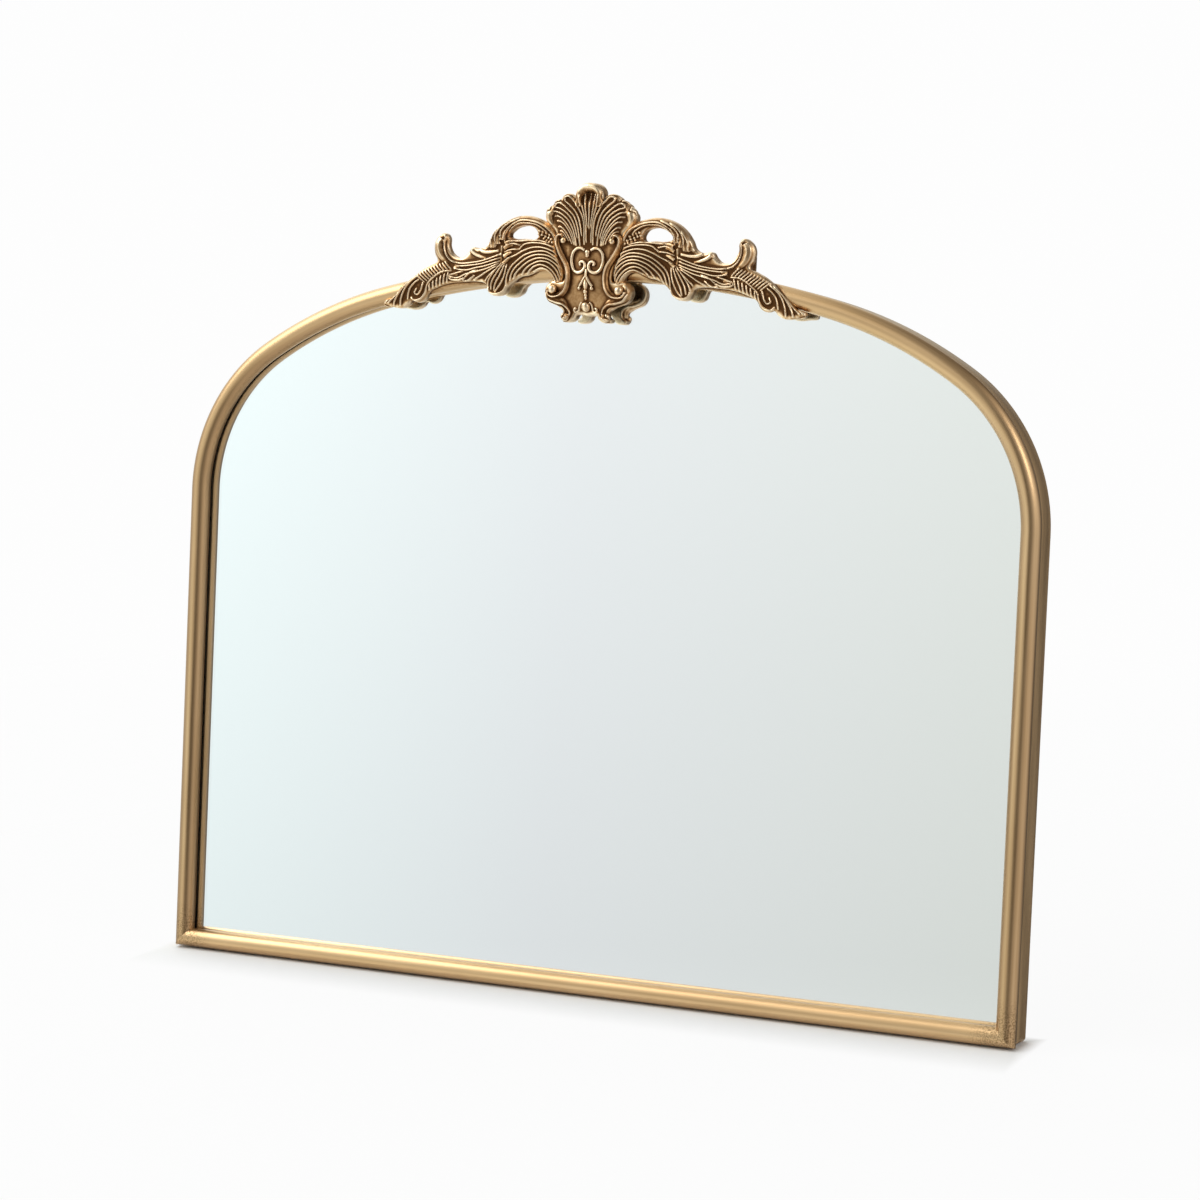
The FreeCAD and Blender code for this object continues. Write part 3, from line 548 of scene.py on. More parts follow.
def slab_mesh(outline, openings):
    """Flat plate of the casting with a rounded edge, front towards -Y."""
    curve = bpy.data.curves.new("slab", "CURVE")
    curve.dimensions = "2D"
    curve.fill_mode = "BOTH"
    curve.resolution_u = outline_steps
    curve.extrude = (casting_front - casting_back) / 2 - casting_edge
    curve.bevel_depth = casting_edge
    curve.bevel_resolution = round_steps
    curve.offset = -casting_edge
    for loop in (outline, *openings):
        add_spline(curve, [(u, z, 0.0) for u, z in loop], (1.0,), True)
    mesh = evaluated_mesh(curve)
    middle = -(casting_front + casting_back) / 2
    mesh.transform(Matrix.Translation((0.0, middle, 0.0)) @ Matrix.Rotation(math.pi / 2, 4, "X"))
    return mesh


def bars_mesh(bars):
    """Rounded ridges on the front of the casting."""
    curve = bpy.data.curves.new("bars", "CURVE")
    curve.dimensions = "3D"
    curve.bevel_depth = 1.0
    curve.bevel_resolution = round_steps
    curve.resolution_u = bar_steps
    curve.use_fill_caps = True
    for radii, crest, points in bars:
        middle = -(casting_front + crest - max(radii))
        add_spline(curve, [(u, middle, z) for u, z in points], radii, False)
    return evaluated_mesh(curve)


def flipped(points):
    """Points of a drawing, on the other side of its middle line."""
    return [(-u, z) for u, z in points]


def mirrored(bars):
    return [(radii, crest, flipped(points)) for radii, crest, points in bars]


def cast_mesh(name, outline, openings, bars, balls):
    """One casting: plate, ridges and balls grown together, in drawing millimetres."""
    bm = bmesh.new()
    bm.from_mesh(slab_mesh(outline, openings))
    bm.from_mesh(bars_mesh(bars))
    for radius, rise, (u, z) in balls:
        place = Matrix.Translation((u, -(casting_front + rise), z))
        bmesh.ops.create_icosphere(bm, subdivisions=ball_steps, radius=radius, matrix=place)
    bmesh.ops.remove_doubles(bm, verts=bm.verts[:], dist=drawing_merge)
    bmesh.ops.recalc_face_normals(bm, faces=bm.faces[:])
    solid = bpy.data.meshes.new(name)
    bm.to_mesh(solid)
    bm.free()
    pattern = bpy.data.objects.new(name, solid)
    remesh = pattern.modifiers.new("grow_together", "REMESH")
    remesh.mode = "VOXEL"
    remesh.voxel_size = casting_grain
    ease = pattern.modifiers.new("ease", "SMOOTH")
    ease.factor = ease_share
    ease.iterations = ease_rounds
    return evaluated_mesh(pattern)


def vectors_of(mesh, name):
    """Places (co) or normals (normal) of a mesh's points, one to a row."""
    flat = np.empty(len(mesh.vertices) * 3)
    mesh.vertices.foreach_get(name, flat)
    return flat.reshape(-1, 3)


def lay_values(mesh, name, values):
    """Attribute with one value for each point."""
    mesh.attributes.new(name, "FLOAT", "POINT").data.foreach_set("value", values)


def nearest_of(places):
    """Search tree that finds the nearest of some places in a drawing."""
    tree = KDTree(len(places))
    for number, (u, z) in enumerate(places):
        tree.insert((u, z, 0.0), number)
    tree.balance()
    return tree


def cartouche_lift(u):
    """How far the cartouche's front stands forward of a flat plate."""
    return cartouche_forward - cartouche_slope * np.clip(np.abs(u) - cartouche_flat, 0.0, None)


def wing_lift(u):
    """How far the wing's front stands forward of a flat plate."""
    return np.interp(u, *zip(*wing_forward))


def model_front(mesh, lift, swells, loops):
    """Swell the front of a casting and round it off at its edges, leaving its back where it is."""
    points = vectors_of(mesh, "co")
    u, z = points[:, 0], points[:, 2]
    forward = lift(u)
    for height, middle_u, middle_z, reach_u, reach_z in swells:
        aside = ((u - middle_u) / reach_u) ** 2 + ((z - middle_z) / reach_z) ** 2
        forward = forward + height * np.exp(-aside)
    tree = nearest_of(np.concatenate([smooth_line(loop, border_samples, True) for loop in loops]))
    near = np.array([tree.find((one, two, 0.0))[2] for one, two in zip(u, z)])
    away = np.clip(1.0 - near / edge_round, 0.0, 1.0)
    forward = forward - edge_drop * (1.0 - np.sqrt(1.0 - away ** 2))
    share = np.clip((-points[:, 1] - casting_back) / (casting_front - casting_back), 0.0, 1.0)
    points[:, 1] -= share * forward
    mesh.vertices.foreach_set("co", points.ravel())


def raise_ridges(mesh, ridges):
    """Fine ridges on the front of a casting: thin crests fading out at their ends, with painted shade laid
    beside them.
    """
    samples = []
    for knots in ridges:
        rough_length = sum((Vector(two) - Vector(one)).length for one, two in zip(knots, knots[1:]))
        line = smooth_line(knots, int(rough_length / ridge_crest) + 2)
        along = np.linspace(0.0, rough_length, len(line))
        ends = np.minimum(along, rough_length - along)
        fade = np.clip(ridge_end + (1.0 - ridge_end) * ends / ridge_fade, 0.0, 1.0)
        samples += list(zip(line[:, 0], line[:, 1], fade))
    tree = nearest_of([sample[:2] for sample in samples])
    points = vectors_of(mesh, "co")
    normals = vectors_of(mesh, "normal")
    facing = np.clip(-facing_gain * normals[:, 1] - facing_start, 0.0, 1.0)
    crest = np.zeros(len(points))
    flank_shade = np.zeros(len(points))
    for place in np.flatnonzero(facing):
        _, nearest, away = tree.find((points[place, 0], points[place, 2], 0.0))
        near = 1.0 - (math.hypot(away, ridge_crest) - ridge_crest) / ridge_reach
        if near > 0.0:
            points[place, 1] -= facing[place] * samples[nearest][2] * ridge_height * near ** 2
            crest[place] = facing[place] * near
        # Painted shade beside the ridge, strongest a little way out from its crest
        flank_shade[place] = facing[place] * np.interp(away, flank_shade_steps, flank_shade_amounts)
    mesh.vertices.foreach_set("co", points.ravel())
    lay_values(mesh, "crest", crest)
    lay_values(mesh, "flank_shade", flank_shade)
    mesh.update()


def seat_on_bead(mesh):
    """Press the channel for the bead into the back of a casting, in metres."""
    points = vectors_of(mesh, "co")
    spoke = np.hypot(points[:, 0] - top_centre.x, points[:, 2] - top_centre.y)
    side = spoke - (top_radius - bead_radius)
    ahead = np.maximum(bead_y - points[:, 1], hair)
    reach = np.hypot(side, ahead)
    inside = reach < channel_radius
    grow = np.where(inside, channel_radius / np.maximum(reach, hair), 1.0)
    new_spoke = (top_radius - bead_radius) + side * grow
    points[:, 0] = top_centre.x + (points[:, 0] - top_centre.x) * new_spoke / spoke
    points[:, 2] = top_centre.y + (points[:, 2] - top_centre.y) * new_spoke / spoke
    points[:, 1] = np.where(inside, bead_y - ahead * grow, points[:, 1])
    mesh.vertices.foreach_set("co", points.ravel())


def lay_relief(mesh):
    """Attribute relief: how far each point stands out of its surroundings, for the colour: dark antique wash
    and painted shade in the recesses, gold bared by rubbing and painted highlight where it stands out.
    """
    points = vectors_of(mesh, "co")
    normals = vectors_of(mesh, "normal")
    ends = np.empty(len(mesh.edges) * 2, dtype=np.int64)
    mesh.edges.foreach_get("vertices", ends)
    one, two = ends.reshape(-1, 2).T
    degree = np.maximum(np.bincount(ends, minlength=len(points)), 1)[:, None]
    smooth = points.copy()
    relief = np.zeros(len(points))
    for rounds, share in relief_rounds:
        for _ in range(rounds):
            total = np.zeros_like(smooth)
            for axis in range(3):
                total[:, axis] += np.bincount(one, smooth[two, axis], len(points))
                total[:, axis] += np.bincount(two, smooth[one, axis], len(points))
            smooth = total / degree
        height = ((points - smooth) * normals).sum(1) / mm
        relief += share * height / relief_height
    relief = 0.5 + 0.5 * np.tanh(relief)
    lay_values(mesh, "relief", relief)


def stay_seat(x):
    """Place on the top of the arch where a stay stands, and the way outward from there."""
    height = math.sqrt(top_radius ** 2 - x ** 2)
    return Vector((x, 0.0, top_centre.y + height)), Vector((x, 0.0, height)).normalized()


def post_mesh(bm, x):
    """Round post behind a casting, on the spoke of the arch that its stay stands on."""
    seat, outward = stay_seat(x)
    foot = seat + outward * post_rise
    foot.y = (post_back_y + post_root_y) / 2
    bmesh.ops.create_cone(
        bm,
        cap_ends=True,
        segments=post_sides,
        radius1=post_radius,
        radius2=post_radius,
        depth=post_back_y - post_root_y,
        matrix=Matrix.Translation(foot) @ Matrix.Rotation(math.pi / 2, 4, "X"),
    )


def add_casting(name, mesh, flip, posts, material):
    """Set a casting on the bead, on its own side of the crown's middle line, with its posts."""
    mesh = mesh.copy()
    side = -1.0 if flip else 1.0
    place = Matrix.Translation((crown_x, bead_y, foot_z))
    mesh.transform(place @ Matrix.Diagonal((side * mm, mm, mm, 1.0)))
    if flip:
        mesh.flip_normals()
    seat_on_bead(mesh)
    bm = bmesh.new()
    bm.from_mesh(mesh)
    for u in posts:
        post_mesh(bm, crown_x + side * u * mm)
    bm.to_mesh(mesh)
    bm.free()
    lay_relief(mesh)
    casting = bpy.data.objects.new(name, mesh)
    thin = casting.modifiers.new("thin_out", "DECIMATE")
    thin.ratio = min(1.0, casting_faces / (2 * len(mesh.polygons)))
    mesh = evaluated_mesh(casting)
    mesh.shade_smooth()
    add_piece(name + "_relief", mesh, material, "gilt_crown", name)


def make_crown(material):
    """The cartouche and both wings, each one casting."""
    bars = [*scroll_bars, *mirrored(scroll_bars), *pendant_bars, hood_bar]
    other = [(radius, rise, (-u, z)) for radius, rise, (u, z) in cartouche_balls if u > 0]
    outline = [*shield_outline, *flipped(shield_outline[-2:0:-1])]
    cartouche = cast_mesh("cartouche", outline, (), bars, [*cartouche_balls, *other])
    model_front(cartouche, cartouche_lift, cartouche_swells, (outline,))
    half = shell_ridges + scroll_ridges
    raise_ridges(cartouche, [*half, *map(flipped, half)])
    add_casting("crown_cartouche", cartouche, False, cartouche_posts, material)

    ridges = [*arch_ridges, *fan_ridges, *leaf_ridges]
    for count, roots, tips in barbs:
        for place in range(count):
            share = place / (count - 1)
            root = Vector(roots[0]).lerp(Vector(roots[1]), share)
            tip = Vector(tips[0]).lerp(Vector(tips[1]), share)
            ridges.append((root, root.lerp(tip, 0.5), tip))
    grape_balls = [(grape_radius, grape_rise, place) for place in grapes]
    wing = cast_mesh("wing", wing_outline, (wing_opening,), arch_bars, grape_balls)
    model_front(wing, wing_lift, wing_swells, (wing_outline, wing_opening))
    raise_ridges(wing, ridges)
    add_casting("crown_wing_right", wing, False, wing_posts, material)
    add_casting("crown_wing_left", wing, True, wing_posts, material)


# Finishes
class NodeMaker:
    """A tree of shading nodes in the making."""

    def __init__(self, tree):
        self.tree = tree

    def node(self, kind, sources=(), **settings):
        node = self.tree.nodes.new(kind)
        for name, value in settings.items():
            setattr(node, name, value)
        for socket, source in sources:
            if isinstance(source, bpy.types.NodeSocket):
                self.tree.links.new(source, node.inputs[socket])
            else:
                node.inputs[socket].default_value = source
        return node

    def axes(self, source):
        return self.node("ShaderNodeSeparateXYZ", ((0, source),)).outputs

    def math(self, operation, one, two):
        return self.node("ShaderNodeMath", ((0, one), (1, two)), operation=operation).outputs[0]

    def size(self, source):
        return self.node("ShaderNodeMath", ((0, source),), operation="ABSOLUTE").outputs[0]

    def spread(self, source, low, high, to_low, to_high):
        names = ("Value", "From Min", "From Max", "To Min", "To Max")
        sources = zip(names, (source, low, high, to_low, to_high))
        return self.node("ShaderNodeMapRange", sources).outputs["Result"]

    def ramp(self, source, *stops):
        node = self.node("ShaderNodeValToRGB", (("Fac", source),))
        points = node.color_ramp.elements
        while len(points) < len(stops):
            points.new(1.0)
        for point, (position, colour) in zip(points, stops):
            point.position = position
            point.color = (*colour, 1.0)
        return node.outputs["Color"]

    def mix(self, share, one, two, blend="MIX"):
        sources = ((0, share), (6, one), (7, two))
        return self.node("ShaderNodeMix", sources, data_type="RGBA", blend_type=blend).outputs[2]

    def mix_shaders(self, share, one, two):
        sources = ((0, share), (1, one.outputs[0]), (2, two.outputs[0]))
        return self.node("ShaderNodeMixShader", sources)


class Finish(NodeMaker):
    """A material in the making: its nodes, links and shader."""

    def __init__(self, name):
        self.material = bpy.data.materials.new(name)
        self.material.use_nodes = True
        super().__init__(self.material.node_tree)
        self.shader = self.tree.nodes["Principled BSDF"]
        self.place = self.node("ShaderNodeTexCoord").outputs["Object"]

    def set(self, **values):
        for name, value in values.items():
            self.shader.inputs[name.replace("_", " ")].default_value = value

    def attribute(self, name, output):
        return self.node("ShaderNodeAttribute", attribute_name=name).outputs[output]

    def stretch(self, source, scale):
        return self.node("ShaderNodeMapping", (("Vector", source), ("Scale", scale))).outputs["Vector"]

    def noise(self, source, scale, detail, roughness=0.55):
        sources = (("Vector", source), ("Scale", scale), ("Detail", detail), ("Roughness", roughness))
        return self.node("ShaderNodeTexNoise", sources).outputs["Fac"]

    def bump(self, height, strength, distance):
        sources = (("Height", height), ("Strength", strength), ("Distance", distance))
        return self.node("ShaderNodeBump", sources).outputs["Normal"]

    def corner_nearness(self, reach):
        """One at the frame's two lower corners, falling to nothing at a reach from them."""
        axes = self.axes(self.place)
        aside = self.math("SUBTRACT", half_width, self.size(axes["X"]))
        above = self.math("SUBTRACT", axes["Z"], foot_z)
        return self.spread(self.math("MAXIMUM", aside, above), reach / 2, reach, 1.0, 0.0)

    def drive(self, **sources):
        for name, source in sources.items():
            self.tree.links.new(source, self.shader.inputs[name.replace("_", " ")])
        return self.material


def satin_gilt():
    """Antique gold of the bead: brushed lengthwise, tarnished in soft patches, grainy at the mitres."""
    gilt = Finish("satin_gilt")
    run = gilt.attribute("run", "Vector")
    brushing = gilt.noise(gilt.stretch(run, (4.0, 260.0, 1.0)), 1.0, 5.0, 0.6)
    tarnish = gilt.noise(gilt.stretch(run, (3.0, 40.0, 1.0)), 1.0, 3.0)
    tone = gilt.math("ADD", gilt.math("MULTIPLY", brushing, 0.45), gilt.math("MULTIPLY", tarnish, 0.55))
    colour = gilt.ramp(
        tone, (0.3, (0.46, 0.280, 0.122)), (0.5, (0.61, 0.395, 0.195)), (0.7, (0.75, 0.520, 0.285))
    )
    near = gilt.corner_nearness(weld_reach)
    grain = gilt.noise(gilt.place, 640.0, 2.0, 0.6)
    specks = gilt.math("MULTIPLY", gilt.spread(grain, 0.47, 0.58, 0.0, 0.8), near)
    colour = gilt.mix(specks, colour, (0.27, 0.150, 0.058, 1.0))
    gilt.set(Metallic=1.0, Coat_Weight=0.2, Coat_IOR=2.0, Coat_Roughness=0.35)
    rough = gilt.spread(brushing, 0.3, 0.7, 0.30, 0.42)
    height = gilt.math("ADD", gilt.math("MULTIPLY", brushing, 0.12), gilt.math("MULTIPLY", grain, near))
    return gilt.drive(Base_Color=colour, Roughness=rough, Normal=gilt.bump(height, 0.8, 0.0005))


def rim_bronze():
    """The rim strip: the same gilding, browner and duller, with painted contact shade where it meets the
    bead.
    """
    rim = Finish("rim_bronze")
    run = rim.attribute("run", "Vector")
    brushing = rim.noise(rim.stretch(run, (5.0, 300.0, 1.0)), 1.0, 4.0, 0.6)
    colour = rim.ramp(brushing, (0.3, (0.33, 0.215, 0.105)), (0.7, (0.54, 0.365, 0.190)))
    depth = rim.axes(rim.place)["Y"]
    # Painted contact shade: the rim darkens towards the bead, as if the bead shaded it
    seam_shade = rim.spread(depth, bead_back_y + seam_shade_width / 2, bead_back_y + seam_shade_width, 0.85, 0.0)
    colour = rim.mix(seam_shade, colour, (0.03, 0.016, 0.008, 1.0))
    rim.set(Metallic=0.6)
    rough = rim.spread(brushing, 0.3, 0.7, 0.34, 0.46)
    return rim.drive(Base_Color=colour, Roughness=rough, Normal=rim.bump(brushing, 0.15, 0.0004))


def crown_gilding():
    """Cast gilding: brown antique wash and painted shade in the recesses and beside the ridges, gold bared
    by rubbing and painted highlight on the ridges.
    """
    crown = Finish("crown_gilding")
    relief = crown.attribute("relief", "Fac")
    mottle = crown.noise(crown.place, 320.0, 5.0, 0.6)
    # Gold bared by rubbing and painted highlight along the ridge crests
    rub_and_highlight = crown.math("MULTIPLY", crown.math("POWER", crown.attribute("crest", "Fac"), 4.0), 0.46)
    tone = crown.math("ADD", relief, crown.spread(mottle, 0.3, 0.7, -0.08, 0.08))
    tone = crown.math("ADD", tone, rub_and_highlight)
    # Painted shade on the flanks beside the ridges
    tone = crown.math("SUBTRACT", tone, crown.math("MULTIPLY", crown.attribute("flank_shade", "Fac"), 0.24))
    # From dark antique wash and painted shade in the recesses up to bared gold and painted highlight where
    # the casting stands out
    colour = crown.ramp(
        tone,
        (0.12, (0.100, 0.042, 0.014)),
        (0.34, (0.225, 0.110, 0.043)),
        (0.50, (0.425, 0.238, 0.104)),
        (0.72, (0.710, 0.462, 0.244)),
        (0.95, (1.000, 0.790, 0.540)),
    )
    crown.set(Metallic=1.0)
    rough = crown.spread(tone, 0.2, 0.8, 0.55, 0.34)
    grain = crown.noise(crown.place, 900.0, 3.0, 0.6)
    return crown.drive(Base_Color=colour, Roughness=rough, Normal=crown.bump(grain, 0.25, 0.0004))


def stay_bronze():
    """The stays behind the castings, washed over with the same brown gold."""
    stay = Finish("stay_bronze")
    cloud = stay.noise(stay.place, 90.0, 4.0, 0.6)
    colour = stay.ramp(cloud, (0.3, (0.17, 0.095, 0.040)), (0.7, (0.30, 0.185, 0.085)))
    stay.set(Metallic=0.75, Roughness=0.45)
    return stay.drive(Base_Color=colour)


def clear_pane():
    """Clear float glass of the pane."""
    pane = Finish("clear_pane")
    pane.set(Base_Color=(0.985, 1.0, 0.993, 1.0), Roughness=0.0, IOR=1.52, Transmission_Weight=1.0)
    return pane.material


def silver_backing():
    """Silvered back of the pane."""
    silver = Finish("silver_backing")
    silver.set(Base_Color=(0.97, 0.98, 0.975, 1.0), Metallic=1.0, Roughness=0.0)
    return silver.material


def seal_foam():
    """Matt black foam between the bead and the pane."""
    foam = Finish("seal_foam")
    cells = foam.noise(foam.place, 1500.0, 3.0)
    colour = foam.ramp(cells, (0.3, (0.008, 0.008, 0.008)), (0.7, (0.022, 0.021, 0.020)))
    foam.set(Roughness=0.8)
    return foam.drive(Base_Color=colour, Normal=foam.bump(cells, 0.3, 0.0003))


def fibre_board():
    """Pressed fibreboard of the back."""
    board = Finish("fibre_board")
    fibres = board.noise(board.place, 700.0, 6.0, 0.7)
    cloud = board.noise(board.place, 9.0, 3.0)
    tone = board.math("ADD", board.math("MULTIPLY", fibres, 0.85), board.math("MULTIPLY", cloud, 0.15))
    colour = board.ramp(
        tone, (0.3, (0.135, 0.078, 0.038)), (0.5, (0.215, 0.135, 0.072)), (0.7, (0.310, 0.210, 0.120))
    )
    rough = board.spread(fibres, 0.3, 0.7, 0.72, 0.9)
    return board.drive(Base_Color=colour, Roughness=rough, Normal=board.bump(fibres, 0.35, 0.0004))


def zinc_plate():
    """Zinc-plated steel of the clips, hangers, bosses and screws."""
    zinc = Finish("zinc_plate")
    cloud = zinc.noise(zinc.place, 120.0, 5.0, 0.6)
    lines = zinc.noise(zinc.stretch(zinc.place, (90.0, 2400.0, 2400.0)), 1.0, 3.0)
    colour = zinc.ramp(cloud, (0.3, (0.36, 0.36, 0.345)), (0.7, (0.60, 0.60, 0.575)))
    zinc.set(Metallic=1.0)
    rough = zinc.spread(cloud, 0.3, 0.7, 0.26, 0.44)
    return zinc.drive(Base_Color=colour, Roughness=rough, Normal=zinc.bump(lines, 0.1, 0.0003))


def make_silver_film(material):
    """The silvering, let slightly into the back of the glass so that nothing lies between the two."""
    bm = bmesh.new()
    bm.from_mesh(nodes["silver_coat"].data)
    low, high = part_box("silver_coat")
    for vert in bm.verts:
        if vert.co.y < (low.y + high.y) / 2:
            vert.co.y -= film_bite
    mesh = mesh_from(bm, "silver_film", plate_sharp)
    mesh.shade_flat()
    add_piece("silver_film", mesh, material, "silver", "silver_coat")


def make_stays(material):
    """The stays, each tapered towards its top so that it hides behind its casting."""
    bm = bmesh.new()
    bm.from_mesh(nodes["crown_stays"].data)
    seats = [crown_x + side * u * mm for side in (-1.0, 1.0) for u in (*cartouche_posts[1:], *wing_posts)]
    for vert in bm.verts:
        x = min(seats, key=lambda seat: abs(seat - vert.co.x))
        seat, outward = stay_seat(x)
        across = Vector((outward.z, 0.0, -outward.x))
        offset = Vector((vert.co.x - seat.x, 0.0, vert.co.z - seat.z))
        rise = max(0.0, offset.dot(outward))
        vert.co -= across * offset.dot(across) * min(1.0, rise / stay_rise) * stay_taper
        vert.co -= outward * rise * stay_cut
    mesh = mesh_from(bm, "crown_stay_bars", plate_sharp)
    add_piece("crown_stay_bars", mesh, material, "zinc_steel", "crown_stays")


def finish_nodes(material, *names):
    """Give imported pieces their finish."""
    for name in names:
        for slot in nodes[name].material_slots:
            slot.material = material


# Studio
camera_place = (1.4418, -3.0316, 0.1344)
camera_azimuth = math.radians(25.493)
camera_elevation = math.radians(3.212)
camera_roll = math.radians(2.450)
camera_lens = 102.44
white = (0.985, 0.985, 0.985, 1.0)

# Floor: where it lies, where it fades out, how it glows for the camera, and how the glow gives way to
# shadow by the object, where the mirror sees it too
floor_tilt = math.radians(5.64)
floor_z = -0.4384
floor_reach = 3.0
floor_fade = (0.9, 2.2)
floor_glow = 0.94
contact_reach = 0.08
contact_side = 5.0
contact_seen = 0.2

# Room in the gilding and the mirror: its colour by direction, across, upwards and bounced from below
room_strength = 1.8
room_across = (
    (-0.95, (0.55, 0.56, 0.57)),
    (-0.60, (0.885, 1.00, 1.00)),
    (-0.44, (0.745, 0.765, 0.785)),
    (-0.26, (0.665, 0.685, 0.645)),
    (0.05, (0.11, 0.10, 0.09)),
    (0.32, (0.05, 0.045, 0.04)),
    (0.55, (0.22, 0.21, 0.20)),
    (0.80, (0.48, 0.47, 0.46)),
    (1.00, (0.58, 0.57, 0.56)),
)
room_upward = (
    (-1.0, (0.70, 0.69, 0.67)),
    (-0.65, (0.88, 0.87, 0.85)),
    (-0.35, (0.84, 0.83, 0.82)),
    (-0.16, (0.55, 0.55, 0.55)),
    (0.05, (0.67, 0.67, 0.67)),
    (0.6, (1.0, 1.0, 1.0)),
)
room_bounce = ((-0.65, (0.36, 0.35, 0.34)), (-0.30, (0.0, 0.0, 0.0)))

# Lamps: name, place, width, power and colour
lamps = (
    ("key", (-2.7, -1.8, 2.3), 2.6, 56.0, (1.0, 0.99, 0.98)),
    ("side", (2.6, -0.6, 1.4), 1.0, 10.0, (1.0, 0.98, 0.95)),
)


def make_camera():
    """Camera at the photograph's viewing angle."""
    data = bpy.data.cameras.new("camera")
    data.lens = camera_lens
    camera = bpy.data.objects.new("camera", data)
    back = Vector((
        math.sin(camera_azimuth) * math.cos(camera_elevation),
        -math.cos(camera_azimuth) * math.cos(camera_elevation),
        math.sin(camera_elevation),
    ))
    level = Vector((math.cos(camera_azimuth), math.sin(camera_azimuth), 0.0))
    upright = back.cross(level)
    right = math.cos(camera_roll) * level + math.sin(camera_roll) * upright
    up = math.cos(camera_roll) * upright - math.sin(camera_roll) * level
    turn = Matrix((right, up, back)).transposed().to_4x4()
    camera.matrix_world = Matrix.Translation(camera_place) @ turn
    scene.collection.objects.link(camera)
    scene.camera = camera


def make_floor():
    """White floor that keeps the object's soft shadow, and that the mirror sees only near the object."""
    bm = bmesh.new()
    bmesh.ops.create_grid(bm, x_segments=1, y_segments=1, size=floor_reach)
    place = Matrix.Translation((0.0, 0.0, floor_z)) @ Matrix.Rotation(floor_tilt, 4, "X")
    bmesh.ops.transform(bm, matrix=place, verts=bm.verts[:])
    mesh = mesh_from(bm, "floor", plate_sharp)
    floor = bpy.data.objects.new("floor", mesh)
    scene.collection.objects.link(floor)
    paint = Finish("floor_white")
    paint.set(Base_Color=(0.90, 0.90, 0.90, 1.0), Roughness=0.9)
    glow = paint.node("ShaderNodeEmission", (("Color", white), ("Strength", 1.0)))
    path = paint.node("ShaderNodeLightPath").outputs
    axes = paint.axes(paint.place)
    beside = paint.math("SUBTRACT", paint.size(axes["X"]), half_width)
    ahead = paint.math("SUBTRACT", bead_y, axes["Y"])
    around = paint.math("MULTIPLY", paint.math("MAXIMUM", beside, axes["Y"]), contact_side)
    far = paint.spread(paint.math("MAXIMUM", around, ahead), 0.0, contact_reach, 0.0, 1.0)
    share = paint.math("MULTIPLY", paint.math("MULTIPLY", path["Is Camera Ray"], floor_glow), far)
    lit = paint.mix_shaders(share, paint.shader, glow)
    distance = paint.node("ShaderNodeVectorMath", ((0, paint.place),), operation="LENGTH").outputs["Value"]
    fade = paint.spread(distance, *floor_fade, 0.0, 1.0)
    unseen = paint.math("GREATER_THAN", far, contact_seen)
    unseen = paint.math("MULTIPLY", path["Is Glossy Ray"], unseen)
    clear = paint.node("ShaderNodeBsdfTransparent")
    faded = paint.mix_shaders(paint.math("MAXIMUM", fade, unseen), lit, clear)
    paint.tree.links.new(faded.outputs[0], paint.tree.nodes["Material Output"].inputs["Surface"])
    mesh.materials.append(paint.material)
    floor.visible_transmission = False


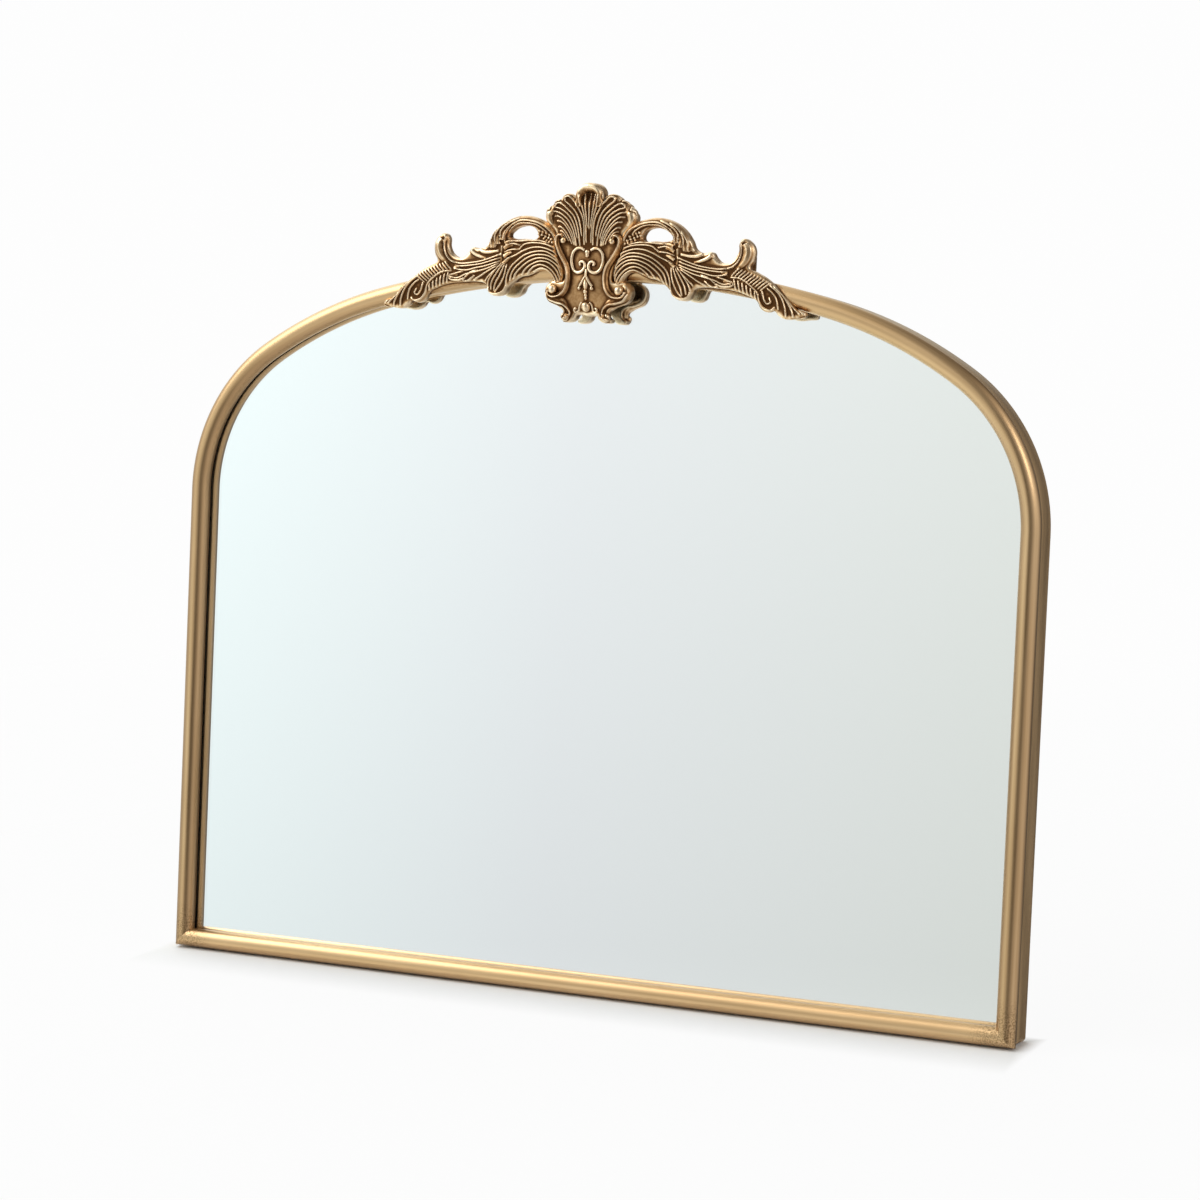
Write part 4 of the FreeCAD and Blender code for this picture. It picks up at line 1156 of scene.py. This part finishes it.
def make_world():
    """White to the camera; to the gilding and the mirror a pale room, darker at the front right."""
    world = bpy.data.worlds.new("studio")
    scene.world = world
    world.use_nodes = True
    world.node_tree.nodes.clear()
    room = NodeMaker(world.node_tree)
    axes = room.axes(room.node("ShaderNodeTexCoord").outputs["Generated"])

    def along(axis, stops):
        share = room.spread(axes[axis], -1.0, 1.0, 0.0, 1.0)
        return room.ramp(share, *(((position + 1.0) / 2, colour) for position, colour in stops))

    walls = room.mix(1.0, along("X", room_across), along("Z", room_upward), "MULTIPLY")
    lit = room.mix(1.0, walls, along("Z", room_bounce), "LIGHTEN")
    studio = room.node("ShaderNodeBackground", (("Color", lit), ("Strength", room_strength)))
    backdrop = room.node("ShaderNodeBackground", (("Color", white),))
    seen = room.node("ShaderNodeLightPath").outputs["Is Camera Ray"]
    shown = room.mix_shaders(seen, studio, backdrop)
    room.node("ShaderNodeOutputWorld", (("Surface", shown.outputs[0]),))


def add_lamp(name, place, size, power, colour):
    """A soft square lamp turned to the middle of the mirror, unseen in the glass."""
    data = bpy.data.lights.new(name, "AREA")
    data.size = size
    data.energy = power
    data.color = colour
    lamp = bpy.data.objects.new(name, data)
    lamp.location = place
    lamp.rotation_euler = (-Vector(place)).to_track_quat("-Z", "Y").to_euler()
    lamp.visible_transmission = False
    scene.collection.objects.link(lamp)


def make_studio():
    """Camera, floor, room and lamps."""
    make_camera()
    make_floor()
    make_world()
    for lamp in lamps:
        add_lamp(*lamp)


def main():
    """Make the gilt pieces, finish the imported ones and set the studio."""
    gilt = satin_gilt()
    bronze = rim_bronze()
    bead = (bead_section, bead_radius, bead_y)
    rim = (rim_section, rim_outer_inset + rim_thickness / 2, bead_back_y / 2, True)
    for name, replaced, make_length, shape, along, material in (
        ("bead_arch_bar", "bead_arch", arched_length, bead, arched_run, gilt),
        ("bead_bottom_bar", "bead_bottom", bottom_length, bead, bottom_run, gilt),
        ("rim_arch_strip", "rim_arch", arched_length, rim, arched_run, bronze),
        ("rim_bottom_strip", "rim_bottom", bottom_length, rim, bottom_run, bronze),
    ):
        mesh = make_length(name, *shape)
        lay_run(mesh, along)
        add_piece(name, mesh, material, "gilt_frame", replaced)
    make_crown(crown_gilding())

    finish_nodes(clear_pane(), "glass_pane")
    make_silver_film(silver_backing())
    finish_nodes(seal_foam(), "glazing_seal")
    finish_nodes(fibre_board(), "backing_board")
    clips = [name for name in nodes if name.startswith("turn_clip_")]
    hanger_pieces = ("hanger_boss", "hanger_plate", "hanging_ring")
    hangers = [f"{piece}_{side}" for piece in hanger_pieces for side in ("left", "right")]
    fixings = ("clip_bosses", "clip_screws", "hanger_screws", "crown_screws")
    finish_nodes(zinc_plate(), *clips, *hangers, *fixings)
    make_stays(stay_bronze())
    make_studio()
    scene.view_settings.view_transform = "Standard"


main()
